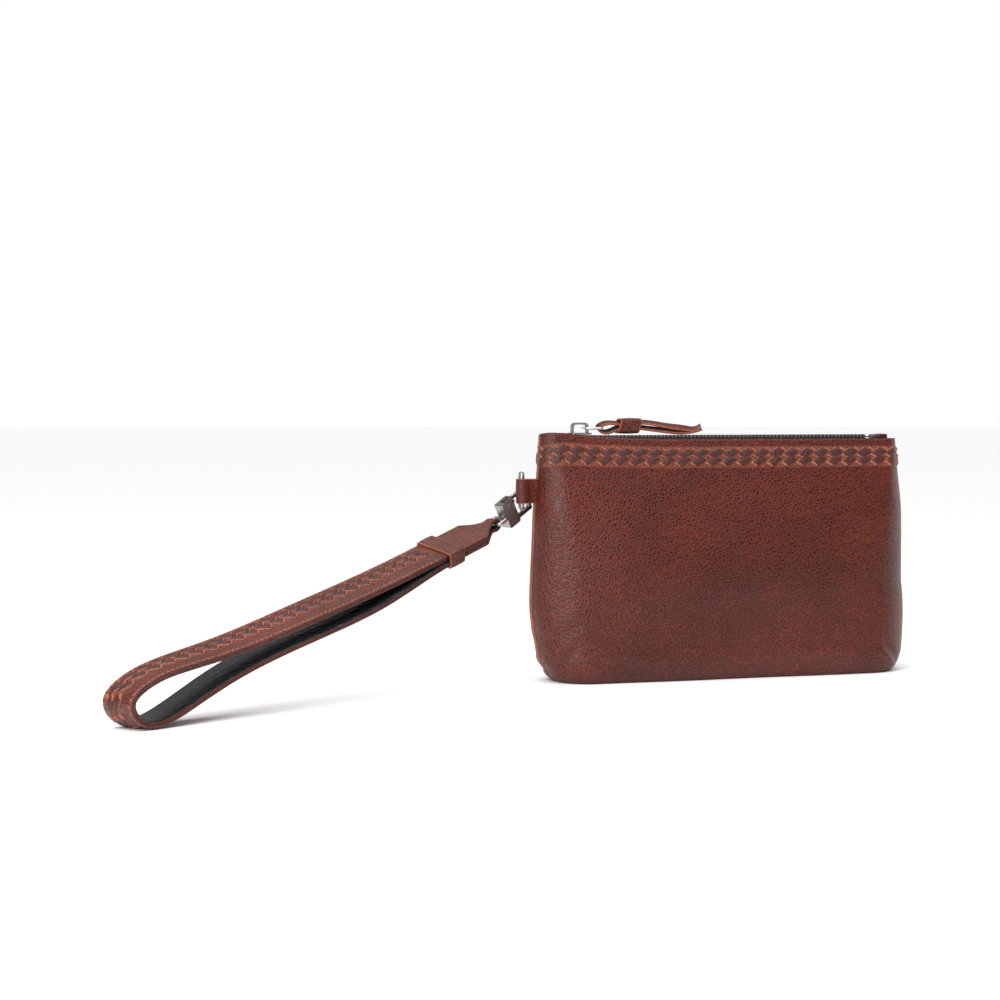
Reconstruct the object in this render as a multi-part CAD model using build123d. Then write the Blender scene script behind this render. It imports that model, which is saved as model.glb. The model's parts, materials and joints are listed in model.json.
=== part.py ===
"""Zippered leather wristlet pouch with a detachable wrist strap.

Millimetres, +Z up. The origin is the middle of the base, on the surface that the pouch stands on.
+X runs along the pouch's width, away from the strap; -Y is the front.
"""

import os
from math import cos, radians, sin, sqrt

from build123d import *

# ---- driving dimensions: the pouch ------------------------------------------------------------
POUCH_WIDTH = 212.0  # widest, a third of the way up
POUCH_HEIGHT = 129.5  # base to the leather's top edge
POUCH_DEPTH = 48.0  # widest, near the base
MOUTH_DEPTH = 13.0  # over the leather at the top edge
BASE_SEAM = 12.0  # the front panel runs under the base to a seam this far behind the middle
BASE_TUCK = 12.0  # how far the base is narrower than the widest part, each side
MOUTH_TUCK = 3.0  # the same for the top edge
LEATHER = 1.6
LINING = 0.6
LAYER_GAP = 0.1  # between glued layers
BOARD = 1.2  # stiffener in the base
BOARD_MARGIN = 4.0
POCKET_WIDTH = 120.0
POCKET_HEIGHT = 62.0
POCKET_TOP_BELOW_MOUTH = 34.0
LINING_BELOW_MOUTH = 7.5

# ---- seams, band and side tab -----------------------------------------------------------------
BINDING_PROUD = 0.9
BINDING_WIDTH = 1.8
BAND_HEIGHT = 11.8
BAND_BELOW_MOUTH = 4.2
BAND_PROUD = 1.0
TAB_HEIGHT = 13.0
TAB_BELOW_MOUTH = 28.5  # top edge to the middle of the tab
TAB_REACH = 8.3  # seam to the middle of the D-ring's bar

# ---- zip ---------------------------------------------------------------------------------------
ZIP_START_INSET = 18.0  # side of the pouch to the middle of the top stops
ZIP_END_INSET = 14.5  # the same to the middle of the bottom stop
TOOTH_PITCH = 2.2
TOOTH_LENGTH = 1.0
TOOTH_HEIGHT = 2.6
TOOTH_REACH = 2.95  # from the middle of the zip outwards
TOOTH_CROSS = 0.35  # past the middle of the zip
TEETH_ABOVE_EDGE = 0.8
TAPE_THICKNESS = 0.5
STOP_LENGTH = 1.6
SLIDER_LENGTH = 12.0
SLIDER_PLATE = 1.0
SLIDER_FLANGE = 1.0
SLIDER_CLEAR = 0.3
SLIDER_POST_LENGTH = 3.0
SLIDER_POST_WIDTH = 1.8
CROWN_LENGTH = 9.4
CROWN_HEIGHT = 5.4
CROWN_THICKNESS = 1.1
CROWN_WIDTH = 2.4
END_TAB_LENGTH = 6.5
END_TAB_HEIGHT = 3.0

# ---- zip pull ----------------------------------------------------------------------------------
PULL_RING_WIRE = 1.3
PULL_RING_LENGTH = 10.5
PULL_RING_WIDTH = 8.6
PULL_LEATHER = 1.3
PULL_WIDTH = 5.0
PULL_LENGTH = 60.0
WRAP_LENGTH = 13.0
WRAP_WALL = 1.2
PULL_CLEAR = 0.5

# ---- D-ring ------------------------------------------------------------------------------------
RING_WIRE = 2.8
RING_RADIUS = 8.9  # to the middle of the wire
RING_STRAIGHT = 3.0
RING_CORNER = 2.4
RING_CLEAR = 0.15
RING_YAW = 76.0  # the way from the bar to the arc, anticlockwise from +X

# ---- snap hook and swivel ------------------------------------------------------------------------
STRAP_YAW = 207.0  # the way the strap runs, anticlockwise from +X
HOOK_DROP = 29.0  # slope of the hook below level
HOOK_WIRE = 2.8
HOOK_WINDOW = 11.4  # between the middles of the two long bars
HOOK_REACH = 24.6  # end bar to the middle of the swivel loop
HOOK_ON_RING = 5.3  # end bar to the D-ring's wire, along the hook
RING_BELOW_HOOK_AXIS = 1.6
RING_CROSSING = 7.4  # from the D-ring's bar to where the hook crosses its plane
BLOCK_LENGTH = 8.5
BLOCK_WIDTH = 14.2
BLOCK_THICKNESS = 6.0
GATE_THICKNESS = 2.0
GATE_WIRE = 2.4
GATE_CLEAR = 0.4
SLOT_CLEAR = 0.3
KNUCKLE = 2.2
GRIP_PROUD = 1.2
GRIP_RIBS = 4
RIVET_DIAMETER = 1.8
RIVET_CLEAR = 0.05
RIVET_FROM_START = 3.0
RIVET_BELOW_TOP = 3.7
PIN_DIAMETER = 2.6
PIN_NECK = 1.4
PIN_HEAD = 3.8
PIN_HEAD_LENGTH = 1.0
PIN_CLEAR = 0.08
LOOP_TO_BLOCK = -0.6  # from the swivel loop's own end to the block, along the hook
SWIVEL_WIRE = 2.2
SWIVEL_LENGTH = 8.2
SWIVEL_WIDTH = 11.6

# ---- wrist strap -------------------------------------------------------------------------------
STRAP_WIDTH = 21.0
STRAP_LEATHER = 1.7
STRAP_LINING = 1.3
STRAP_LACING = 0.7
LACING_WIDTH = 12.5
LACING_OFF_CENTRE = 2.5
STRAP_DROP = 16.0  # slope below level of the end by the hook
STRAP_LENGTH = 238.0  # level distance from the swivel loop's bar to the end of the loop
LOOP_OPENING = 22.0  # outside height of the loop at its widest
TIP_LENGTH = 40.0
TIP_NARROW = 6.2
TIP_TAPER = 19.0
TIP_LEATHER = 1.7
TIP_CORE = 1.5
TIP_CLEAR = 0.5
KEEPER_LENGTH = 10.5
KEEPER_WALL = 1.4
KEEPER_CLEAR = 0.2
STUD_DIAMETER = 5.0
STUD_HEIGHT = 1.4

TOUCH = 0.05  # left between pieces that lie on each other

pieces = {}


# ---- the pouch: leather, lining, board, pocket ---------------------------------------------------
def levels():
    """Heights, widths, depths and corner radii of the pouch's level outlines, from the base up."""
    widest = POUCH_WIDTH
    base = widest - 2 * BASE_TUCK
    mouth = widest - 2 * MOUTH_TUCK
    return [
        (0.0, base, 0.80 * POUCH_DEPTH),
        (0.03 * POUCH_HEIGHT, base + 0.7 * BASE_TUCK, 0.92 * POUCH_DEPTH),
        (0.11 * POUCH_HEIGHT, base + 1.4 * BASE_TUCK, POUCH_DEPTH),
        (0.35 * POUCH_HEIGHT, widest, POUCH_DEPTH),
        (0.65 * POUCH_HEIGHT, widest, 0.80 * POUCH_DEPTH),
        (0.88 * POUCH_HEIGHT, mouth + 0.6 * MOUTH_TUCK, MOUTH_DEPTH + 0.2 * POUCH_DEPTH),
        (POUCH_HEIGHT, mouth, MOUTH_DEPTH),
    ]


def between(low, high, share):
    return low + (high - low) * share


def outline_at(height):
    """Width and depth of the pouch at a height, straight between the level outlines."""
    rows = levels()
    for (z0, w0, d0), (z1, w1, d1) in zip(rows, rows[1:]):
        if height <= z1:
            share = (height - z0) / (z1 - z0)
            return between(w0, w1, share), between(d0, d1, share)
    return rows[-1][1:]


def pouch_form(inset=0.0, floor=0.0, ceiling=POUCH_HEIGHT):
    """The pouch's form as one solid, moved in by inset, from a floor to a ceiling."""
    heights = [floor] + [z for z, _, _ in levels() if floor + 1 < z < ceiling - 1] + [ceiling]
    sections = []
    for height in heights:
        width, depth = outline_at(height)
        wide = width - 2 * inset
        deep = depth - 2 * inset
        sections.append(Pos(0, 0, height) * RectangleRounded(wide, deep, 0.46 * deep))
    return loft(sections, ruled=True)


def slab(x0, x1, y0, y1, z0, z1):
    size = (x1 - x0, y1 - y0, z1 - z0)
    middle = ((x0 + x1) / 2, (y0 + y1) / 2, (z0 + z1) / 2)
    return Pos(*middle) * Box(*size)


FAR = 2 * POUCH_WIDTH
FRONT_HALF = slab(-FAR, FAR, -FAR, -TOUCH, -FAR, FAR)
BACK_HALF = slab(-FAR, FAR, TOUCH, FAR, -FAR, FAR)
LINING_INSET = LEATHER + LAYER_GAP
LINING_FLOOR = LEATHER + LAYER_GAP + BOARD + LAYER_GAP
LINING_TOP = POUCH_HEIGHT - LINING_BELOW_MOUTH


def shell(outer_inset, wall, floor, ceiling):
    """A wall that follows the pouch's form, closed below and open above."""
    outside = pouch_form(outer_inset, floor, ceiling)
    inside = pouch_form(outer_inset + wall, floor + wall, ceiling)
    return outside - inside


tab_middle = POUCH_HEIGHT - TAB_BELOW_MOUTH
seam_x = -outline_at(tab_middle)[0] / 2
bar_x = seam_x - TAB_REACH
tab_slot = slab(
    bar_x,
    seam_x + 2 * LEATHER,
    -LEATHER - 2 * RING_CLEAR,
    LEATHER + 2 * RING_CLEAR,
    tab_middle - TAB_HEIGHT / 2 - RING_CLEAR,
    tab_middle + TAB_HEIGHT / 2 + RING_CLEAR,
)

leather = shell(0, LEATHER, 0, POUCH_HEIGHT) - tab_slot
under_base = slab(-FAR, FAR, -TOUCH, BASE_SEAM, -1, LEATHER)
past_seam = slab(-FAR, FAR, -TOUCH, BASE_SEAM + TOUCH, -1, LEATHER + TOUCH)
pieces["front_panel"] = (leather & FRONT_HALF) + (leather & under_base)
pieces["back_panel"] = (leather & BACK_HALF) - past_seam

lining = shell(LINING_INSET, LINING, LINING_FLOOR, LINING_TOP)
pieces["front_lining"] = lining & FRONT_HALF
pieces["back_lining"] = lining & BACK_HALF

board_width, board_depth = outline_at(LEATHER)
board_width -= 2 * BOARD_MARGIN
board_depth -= 2 * BOARD_MARGIN
board_outline = Pos(0, 0, LEATHER + LAYER_GAP / 2) * RectangleRounded(
    board_width, board_depth, 0.46 * board_depth
)
pieces["base_board"] = extrude(board_outline, amount=BOARD)

pocket_top = POUCH_HEIGHT - POCKET_TOP_BELOW_MOUTH
pocket_wall = shell(LINING_INSET + LINING + LAYER_GAP, LINING, LINING_FLOOR + 2, LINING_TOP)
pieces["slip_pocket"] = pocket_wall & slab(
    -POCKET_WIDTH / 2, POCKET_WIDTH / 2, MOUTH_DEPTH / 2, FAR, pocket_top - POCKET_HEIGHT, pocket_top
)

# ---- seam bindings and laced bands ---------------------------------------------------------------
half_binding = BINDING_WIDTH / 2
binding_skin = pouch_form(-BINDING_PROUD, 0.06 * POUCH_HEIGHT) - pouch_form(-TOUCH)
binding_skin = binding_skin - tab_slot
band_top = POUCH_HEIGHT - BAND_BELOW_MOUTH
band_skin = pouch_form(-BAND_PROUD, band_top - BAND_HEIGHT, band_top) - pouch_form(-TOUCH)
band_clear = half_binding + LAYER_GAP
reach = POUCH_WIDTH / 2 - LEATHER

pieces["left_seam_binding"] = binding_skin & slab(
    -FAR, -reach + BASE_TUCK, -half_binding, half_binding, 0, FAR
)
pieces["right_seam_binding"] = binding_skin & slab(
    reach - BASE_TUCK, FAR, -half_binding, half_binding, 0, FAR
)
pieces["front_lacing"] = band_skin & slab(-FAR, FAR, -FAR, -band_clear, 0, FAR)
pieces["back_lacing"] = band_skin & slab(-FAR, FAR, band_clear, FAR, 0, FAR)


# ---- ribbons: strips bent along a curve ----------------------------------------------------------
def ribbon(points, low, high, half_width, plane, steps=60, start=0.0, end=1.0, tangents=()):
    """A strip along a smooth curve in a plane, between two offsets to the curve's left."""
    curve = Spline(*points, tangents=tangents)
    near, far = [], []
    for k in range(steps + 1):
        at = between(start, end, k / steps)
        p = curve @ at
        t = curve % at
        near.append((p.X - t.Y * low, p.Y + t.X * low))
        far.append((p.X - t.Y * high, p.Y + t.X * high))
    edges = [Spline(*near), Line(near[-1], far[-1]), Spline(*far[::-1]), Line(far[0], near[0])]
    return extrude(plane * make_face(edges), amount=half_width, both=True)


# ---- side tab and D-ring -------------------------------------------------------------------------
bar_radius = RING_WIRE / 2 + RING_CLEAR
tab_outer = bar_radius + LEATHER
tab_tail = seam_x + LEATHER / 2
level_plane = Plane(origin=(0, 0, tab_middle))
tab_flat = slab(
    bar_x, tab_tail, -LEATHER - TOUCH, LEATHER + TOUCH,
    tab_middle - TAB_HEIGHT / 2, tab_middle + TAB_HEIGHT / 2,
)
tab_eye = Pos(bar_x, 0, tab_middle) * Cylinder(tab_outer, TAB_HEIGHT)
tab_bore = Pos(bar_x, 0, tab_middle) * Cylinder(bar_radius, 2 * TAB_HEIGHT)
pieces["side_tab"] = tab_flat + tab_eye - tab_bore

ring_out = Vector(cos(radians(RING_YAW)), sin(radians(RING_YAW)), 0)
ring_plane = Plane(origin=(bar_x, 0, tab_middle), x_dir=ring_out, z_dir=ring_out.cross(Vector(0, 0, 1)))


def d_ring():
    """A round wire bent to a D: straight bar, two tight corners and a half round."""
    r = RING_RADIUS
    c = RING_CORNER
    diagonal = c * (1 - sqrt(0.5))
    path = [
        Line((0, c - r), (0, r - c)),
        ThreePointArc((0, r - c), (diagonal, r - diagonal), (c, r)),
        Line((c, r), (RING_STRAIGHT, r)),
        ThreePointArc((RING_STRAIGHT, r), (RING_STRAIGHT + r, 0), (RING_STRAIGHT, -r)),
        Line((RING_STRAIGHT, -r), (c, -r)),
        ThreePointArc((c, -r), (diagonal, diagonal - r), (0, c - r)),
    ]
    wire = Wire(path)
    section = Plane(origin=(0, 0, 0), z_dir=(0, 1, 0)) * Circle(RING_WIRE / 2)
    return ring_plane * sweep(section, path=wire)


pieces["d_ring"] = d_ring()

# ---- zip -----------------------------------------------------------------------------------------
zip_start = ZIP_START_INSET - POUCH_WIDTH / 2
zip_end = POUCH_WIDTH / 2 - ZIP_END_INSET
teeth_z = POUCH_HEIGHT + TEETH_ABOVE_EDGE - TOOTH_HEIGHT / 2
slider_x = zip_start + STOP_LENGTH / 2 + SLIDER_CLEAR + SLIDER_LENGTH / 2
mouth_inside = MOUTH_DEPTH / 2 - LEATHER
tape_inner = TOOTH_REACH + TOUCH
tape_end = 2 * STOP_LENGTH
first_tooth = slider_x - SLIDER_LENGTH / 2 + SLIDER_POST_LENGTH + 3 * SLIDER_CLEAR + TOOTH_LENGTH
last_tooth = zip_end - STOP_LENGTH - TOOTH_LENGTH - TOOTH_PITCH
tooth_count = int((last_tooth - first_tooth) / TOOTH_PITCH) + 1


def tape(side):
    y0, y1 = sorted((side * tape_inner, side * (mouth_inside - TOUCH)))
    low = teeth_z - TAPE_THICKNESS / 2
    return slab(zip_start - tape_end, zip_end + tape_end, y0, y1, low, low + TAPE_THICKNESS)


def teeth(side, shift):
    """One row of closed teeth, each a small block that reaches just past the middle."""
    wide = TOOTH_REACH + TOOTH_CROSS
    middle = side * (TOOTH_REACH - TOOTH_CROSS) / 2
    tooth = Box(TOOTH_LENGTH, wide, TOOTH_HEIGHT)
    row = [
        Pos(first_tooth + shift + k * TOOTH_PITCH, middle, teeth_z) * tooth
        for k in range(tooth_count)
    ]
    return Compound(children=row)


pieces["zip_tape_front"] = tape(-1)
pieces["zip_tape_back"] = tape(1)
pieces["zip_teeth_front"] = teeth(-1, 0)
pieces["zip_teeth_back"] = teeth(1, TOOTH_PITCH / 2)

stop = Box(STOP_LENGTH, TOOTH_REACH - 2 * TOOTH_CROSS, TOOTH_HEIGHT)
stop_y = TOOTH_REACH - stop.bounding_box().size.Y / 2
pieces["zip_top_stops"] = Compound(
    children=[Pos(zip_start, side * stop_y, teeth_z) * stop for side in (-1, 1)]
)
pieces["zip_bottom_stop"] = Pos(zip_end, 0, teeth_z) * Box(
    STOP_LENGTH, 2 * TOOTH_REACH, TOOTH_HEIGHT
)


def end_tab(start, way):
    """A folded leather end that closes the zip off beyond its stops."""
    x0, x1 = sorted((start, start + way * END_TAB_LENGTH))
    half = tape_inner - 2 * TOUCH
    low = teeth_z - END_TAB_HEIGHT / 2
    block = slab(x0, x1, -half, half, low, low + END_TAB_HEIGHT)
    return fillet(block.edges().filter_by(Axis.Y), END_TAB_HEIGHT / 4)


pieces["zip_end_tab_left"] = end_tab(zip_start - STOP_LENGTH, -1)
pieces["zip_end_tab_right"] = end_tab(zip_end + STOP_LENGTH, 1)

# ---- slider --------------------------------------------------------------------------------------
channel = TOOTH_HEIGHT + 2 * SLIDER_CLEAR
flange_in = TOOTH_REACH + SLIDER_CLEAR
slider_half = flange_in + SLIDER_FLANGE
slider_top = teeth_z + channel / 2 + SLIDER_PLATE


def slider_body():
    """Two plates held apart by the post at the closing end, with flanges that grip the teeth."""
    plate = Box(SLIDER_LENGTH, 2 * slider_half, SLIDER_PLATE)
    plate = fillet(plate.edges().filter_by(Axis.Z), SLIDER_LENGTH / 5)
    off = channel / 2 + SLIDER_PLATE / 2
    post_x = (SLIDER_POST_LENGTH - SLIDER_LENGTH) / 2 + SLIDER_CLEAR
    post = Pos(post_x, 0, 0) * Box(SLIDER_POST_LENGTH, SLIDER_POST_WIDTH, channel + SLIDER_PLATE)
    body = Pos(0, 0, off) * plate + Pos(0, 0, -off) * plate + post
    slot = TAPE_THICKNESS + 2 * SLIDER_CLEAR
    tall = (channel - slot) / 2
    flange = Box(SLIDER_LENGTH / 2, SLIDER_FLANGE, tall)
    for side in (-1, 1):
        for level in (-1, 1):
            place = Pos(0, side * (flange_in + SLIDER_FLANGE / 2), level * (slot + tall) / 2)
            body = body + place * flange
    return Pos(slider_x, 0, teeth_z) * body


def slider_crown():
    """The arch on the slider's top plate that holds the pull ring."""
    outside = Box(CROWN_LENGTH, CROWN_WIDTH, CROWN_HEIGHT)
    outside = fillet(outside.edges().filter_by(Axis.Y).group_by(Axis.Z)[-1], 2.2)
    inside = Pos(0, 0, -CROWN_THICKNESS) * Box(
        CROWN_LENGTH - 2 * CROWN_THICKNESS, 2 * CROWN_WIDTH, CROWN_HEIGHT
    )
    inside = fillet(inside.edges().filter_by(Axis.Y).group_by(Axis.Z)[-1], 1.4)
    return Pos(slider_x, 0, slider_top + CROWN_HEIGHT / 2) * (outside - inside)


pieces["slider_body"] = slider_body()
pieces["slider_crown"] = slider_crown()

# ---- pull ring and leather pull ------------------------------------------------------------------
ring_bar_x = slider_x + CROWN_LENGTH / 2 - CROWN_THICKNESS - PULL_RING_WIRE / 2 - SLIDER_CLEAR
pull_z = slider_top + 2.3
far_bar_x = ring_bar_x + PULL_RING_LENGTH - PULL_RING_WIRE


def wire_frame(length, width, wire, corner):
    """A rounded rectangle of round wire lying in XY, its first bar's middle at the origin."""
    outline = RectangleRounded(length, width, corner).face().outer_wire()
    start = outline @ 0
    way = outline % 0
    section = Plane(origin=start, z_dir=way) * Circle(wire / 2)
    return Pos(length / 2, 0, 0) * sweep(section, path=outline)


pieces["pull_ring"] = Pos(ring_bar_x, 0, pull_z) * wire_frame(
    PULL_RING_LENGTH - PULL_RING_WIRE, PULL_RING_WIDTH - PULL_RING_WIRE, PULL_RING_WIRE, 1.4
)

pull_plane = Plane(origin=(0, 0, 0), x_dir=(1, 0, 0), z_dir=(0, -1, 0))
eye = PULL_RING_WIRE / 2 + PULL_CLEAR + PULL_LEATHER / 2
pull_end = far_bar_x + PULL_LENGTH
rest_z = POUCH_HEIGHT + TEETH_ABOVE_EDGE + PULL_CLEAR + PULL_LEATHER / 2
wrap_x = far_bar_x + 9.0
PULL_LIFT = 1.35  # half the distance between the two layers inside the wrap
wrap_z = pull_z + 1.2


def pull_path():
    """Upper tail, round the ring's far bar, and back along the lower tail."""
    return [
        (pull_end, rest_z + 3.0),
        (between(wrap_x, pull_end, 0.7), rest_z + 3.2),
        (wrap_x + WRAP_LENGTH, wrap_z + PULL_LIFT),
        (wrap_x, wrap_z + PULL_LIFT),
        (far_bar_x, pull_z + eye),
        (far_bar_x - eye, pull_z),
        (far_bar_x, pull_z - eye),
        (wrap_x, wrap_z - PULL_LIFT),
        (wrap_x + WRAP_LENGTH, wrap_z - PULL_LIFT),
        (between(wrap_x, pull_end, 0.6), rest_z + 0.5),
        (pull_end - 6.0, rest_z + 0.4),
    ]


pieces["pull_strip"] = ribbon(
    pull_path(), -PULL_LEATHER / 2, PULL_LEATHER / 2, PULL_WIDTH / 2, pull_plane, steps=90
)


def pull_wrap():
    """A band of the same leather wound round the pull's two layers."""
    tall = 2 * PULL_LIFT + PULL_LEATHER + 4 * PULL_CLEAR
    wide = PULL_WIDTH + 2 * PULL_CLEAR
    start = wrap_x + 0.5
    long = WRAP_LENGTH - 1.0
    outside = Box(long, wide + 2 * WRAP_WALL, tall + 2 * WRAP_WALL)
    outside = fillet(outside.edges().filter_by(Axis.X), WRAP_WALL)
    band = outside - Box(2 * long, wide, tall)
    return Pos(start + long / 2, 0, wrap_z) * band


pieces["pull_wrap"] = pull_wrap()

# ---- snap hook and swivel ------------------------------------------------------------------------
# The hook has its own axes: x along it towards the strap, y across its window, upwards, and z
# across its thickness. Its origin is the middle of the swivel loop.
UP = Vector(0, 0, 1)
strap_way = Vector(cos(radians(STRAP_YAW)), sin(radians(STRAP_YAW)), 0)
side_way = strap_way.cross(UP)
hook_drop = radians(HOOK_DROP)
hook_way = strap_way * cos(hook_drop) - UP * sin(hook_drop)
hook_up = strap_way * sin(hook_drop) + UP * cos(hook_drop)

crossing = RING_CROSSING - RING_STRAIGHT
crossing_z = -sqrt(RING_RADIUS**2 - crossing**2)
wire_point = Vector(bar_x, 0, tab_middle) + ring_out * RING_CROSSING + UP * crossing_z
hook_origin = wire_point + hook_way * (HOOK_REACH - HOOK_ON_RING) + hook_up * RING_BELOW_HOOK_AXIS
hook_plane = Plane(origin=hook_origin, x_dir=hook_way, z_dir=side_way)

half_window = HOOK_WINDOW / 2
block_end = -SWIVEL_LENGTH / 2 + LOOP_TO_BLOCK
block_start = block_end - BLOCK_LENGTH
block_top = BLOCK_WIDTH / 2
rivet_x = block_start + RIVET_FROM_START
rivet_y = block_top - RIVET_BELOW_TOP
gate_tip = -HOOK_REACH + HOOK_WIRE / 2 + GATE_CLEAR
slot_floor = rivet_y - KNUCKLE - GATE_CLEAR
head_start = block_end - PIN_NECK - PIN_CLEAR


def along_x(radius, start, end):
    """A round bar along x from start to end."""
    return Pos((start + end) / 2, 0, 0) * Rot(0, 90, 0) * Cylinder(radius, end - start)


def hook_frame():
    """Block, lower bar and turned-up end bar in one casting, slotted for the gate."""
    block = Pos((block_start + block_end) / 2, 0, 0) * Box(BLOCK_LENGTH, BLOCK_WIDTH, BLOCK_THICKNESS)
    block = fillet(block.edges().filter_by(Axis.Z), 1.0)
    slot_end = rivet_x + KNUCKLE + GATE_CLEAR
    half_slot = GATE_THICKNESS / 2 + SLOT_CLEAR
    block -= slab(block_start - 1, slot_end, slot_floor, block_top + 1, -half_slot, half_slot)
    block -= Pos(rivet_x, rivet_y, 0) * Cylinder(RIVET_DIAMETER / 2 + RIVET_CLEAR, 2 * BLOCK_THICKNESS)
    block -= along_x(PIN_DIAMETER / 2 + PIN_CLEAR, head_start - 1, block_end + 1)
    block -= along_x(PIN_HEAD / 2 + PIN_CLEAR, head_start - PIN_HEAD_LENGTH - PIN_CLEAR, head_start + PIN_CLEAR)
    radius = HOOK_WIRE / 2
    low_bar = Pos(0, -half_window, 0) * along_x(radius, -HOOK_REACH, block_start + 1)
    end_bar = Pos(-HOOK_REACH, 0, 0) * Rot(90, 0, 0) * Cylinder(radius, HOOK_WINDOW)
    low_corner = Pos(-HOOK_REACH, -half_window, 0) * Sphere(radius)
    high_corner = Pos(-HOOK_REACH, half_window, 0) * Sphere(radius)
    return block + low_bar + end_bar + low_corner + high_corner


def hook_gate():
    """Lever on the rivet: a round bar that closes the window, and a ribbed thumb grip."""
    half = GATE_THICKNESS / 2
    grip_top = block_top + GRIP_PROUD
    lever = Pos(rivet_x, rivet_y, 0) * Cylinder(KNUCKLE, GATE_THICKNESS)
    lever += slab(rivet_x - KNUCKLE, rivet_x + KNUCKLE - 0.2, rivet_y, grip_top, -half, half)
    inside = block_start - GATE_CLEAR
    lever += slab(inside - 1, rivet_x, half_window - GATE_WIRE / 2, half_window + GATE_WIRE / 2, -half, half)
    lever += Pos(0, half_window, 0) * along_x(GATE_WIRE / 2, gate_tip, inside)
    for k in range(GRIP_RIBS):
        x = rivet_x - KNUCKLE + (k + 0.5) * 2 * KNUCKLE / GRIP_RIBS
        lever -= Pos(x, grip_top, 0) * Rot(0, 0, 45) * Box(0.45, 0.45, 2 * GATE_THICKNESS)
    return lever - Pos(rivet_x, rivet_y, 0) * Cylinder(
        RIVET_DIAMETER / 2 + RIVET_CLEAR, 2 * GATE_THICKNESS
    )


def gate_rivet():
    """Rivet through the block and the gate, with a low round head on each face."""
    shank = Cylinder(RIVET_DIAMETER / 2, BLOCK_THICKNESS + 2 * TOUCH)
    head = Cylinder(RIVET_DIAMETER / 2 + 0.55, 0.4)
    off = BLOCK_THICKNESS / 2 + TOUCH + 0.2
    return Pos(rivet_x, rivet_y, 0) * (shank + Pos(0, 0, off) * head + Pos(0, 0, -off) * head)


def gate_spring():
    """Bent leaf of spring steel from the floor of the block's slot to the underside of the gate."""
    leaf = [
        (rivet_x, slot_floor + 0.2),
        (block_start + 0.8, slot_floor + 0.4),
        (block_start - 3.0, half_window - GATE_WIRE / 2 - GATE_CLEAR - 0.2),
    ]
    return ribbon(leaf, -0.12, 0.12, GATE_THICKNESS / 2 - 0.2, Plane.XY, steps=12)


first_bar = (SWIVEL_WIRE - SWIVEL_LENGTH) / 2


def swivel_loop():
    """Rectangular loop of round wire, turned so that its long bars lie across the hook."""
    wire = wire_frame(SWIVEL_LENGTH - SWIVEL_WIRE, SWIVEL_WIDTH - SWIVEL_WIRE, SWIVEL_WIRE, 1.7)
    return Pos(first_bar, 0, 0) * Rot(90, 0, 0) * wire


def swivel_pin():
    """Headed pin, fixed in the loop's first bar and free to turn in the block."""
    shank = along_x(PIN_DIAMETER / 2, head_start - 0.2, first_bar - SWIVEL_WIRE / 2 + 0.4)
    head = along_x(PIN_HEAD / 2, head_start - PIN_HEAD_LENGTH, head_start)
    bar = Pos(first_bar, 0, 0) * Cylinder(SWIVEL_WIRE / 2 + TOUCH, SWIVEL_WIDTH)
    return shank + head - bar


pieces["hook_frame"] = hook_plane * hook_frame()
pieces["hook_gate"] = hook_plane * hook_gate()
pieces["gate_rivet"] = hook_plane * gate_rivet()
pieces["gate_spring"] = hook_plane * gate_spring()
pieces["swivel_loop"] = hook_plane * swivel_loop()
pieces["swivel_pin"] = hook_plane * swivel_pin()

# ---- wrist strap ---------------------------------------------------------------------------------
# The strap hangs on the loop's second bar. Its tapered end is straight, at STRAP_DROP below level.
strap_origin = hook_origin - hook_way * first_bar
strap_drop = radians(STRAP_DROP)
tip_way = strap_way * cos(strap_drop) - UP * sin(strap_drop)
tip_plane = Plane(origin=strap_origin, x_dir=tip_way, z_dir=side_way)
level_strap = Plane(origin=(strap_origin.X, strap_origin.Y, 0), x_dir=strap_way, z_dir=side_way)
tip_end = TIP_LENGTH
layer = STRAP_LEATHER + STRAP_LINING
tip_half = (TIP_CORE + TIP_LEATHER) / 2 + TOUCH
tip_eye = SWIVEL_WIRE / 2 + TIP_CLEAR + TIP_LEATHER / 2


def tip_outline(inset=0.0):
    """The tapered end seen from above: narrow at the loop's bar, widening to the strap."""
    narrow = TIP_NARROW / 2 - inset
    wide = STRAP_WIDTH / 2 - inset
    shoulder = 0.3 * TIP_TAPER
    side = [(-2 * tip_eye, narrow), (shoulder, narrow), (TIP_TAPER, wide), (2 * TIP_LENGTH, wide)]
    outline = Polyline(*side, *[(x, -z) for x, z in reversed(side)], close=True)
    across = Plane(origin=(0, 0, 0), x_dir=(1, 0, 0), z_dir=(0, -1, 0))
    return extrude(across * make_face(outline), amount=STRAP_WIDTH, both=True)


def strap_tip():
    """One leather piece folded round the loop's second bar, both ends under the keeper."""
    straight = [(tip_end * share, tip_half) for share in (1, 0.8, 0.6, 0.45, 0.32, 0.25)]
    half = [*straight, (0, tip_eye)]
    path = [*half, (-tip_eye, 0), *[(x, -y) for x, y in reversed(half)]]
    fold = ribbon(path, -TIP_LEATHER / 2, TIP_LEATHER / 2, STRAP_WIDTH / 2, Plane.XY, steps=90)
    return fold & tip_outline()


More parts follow.
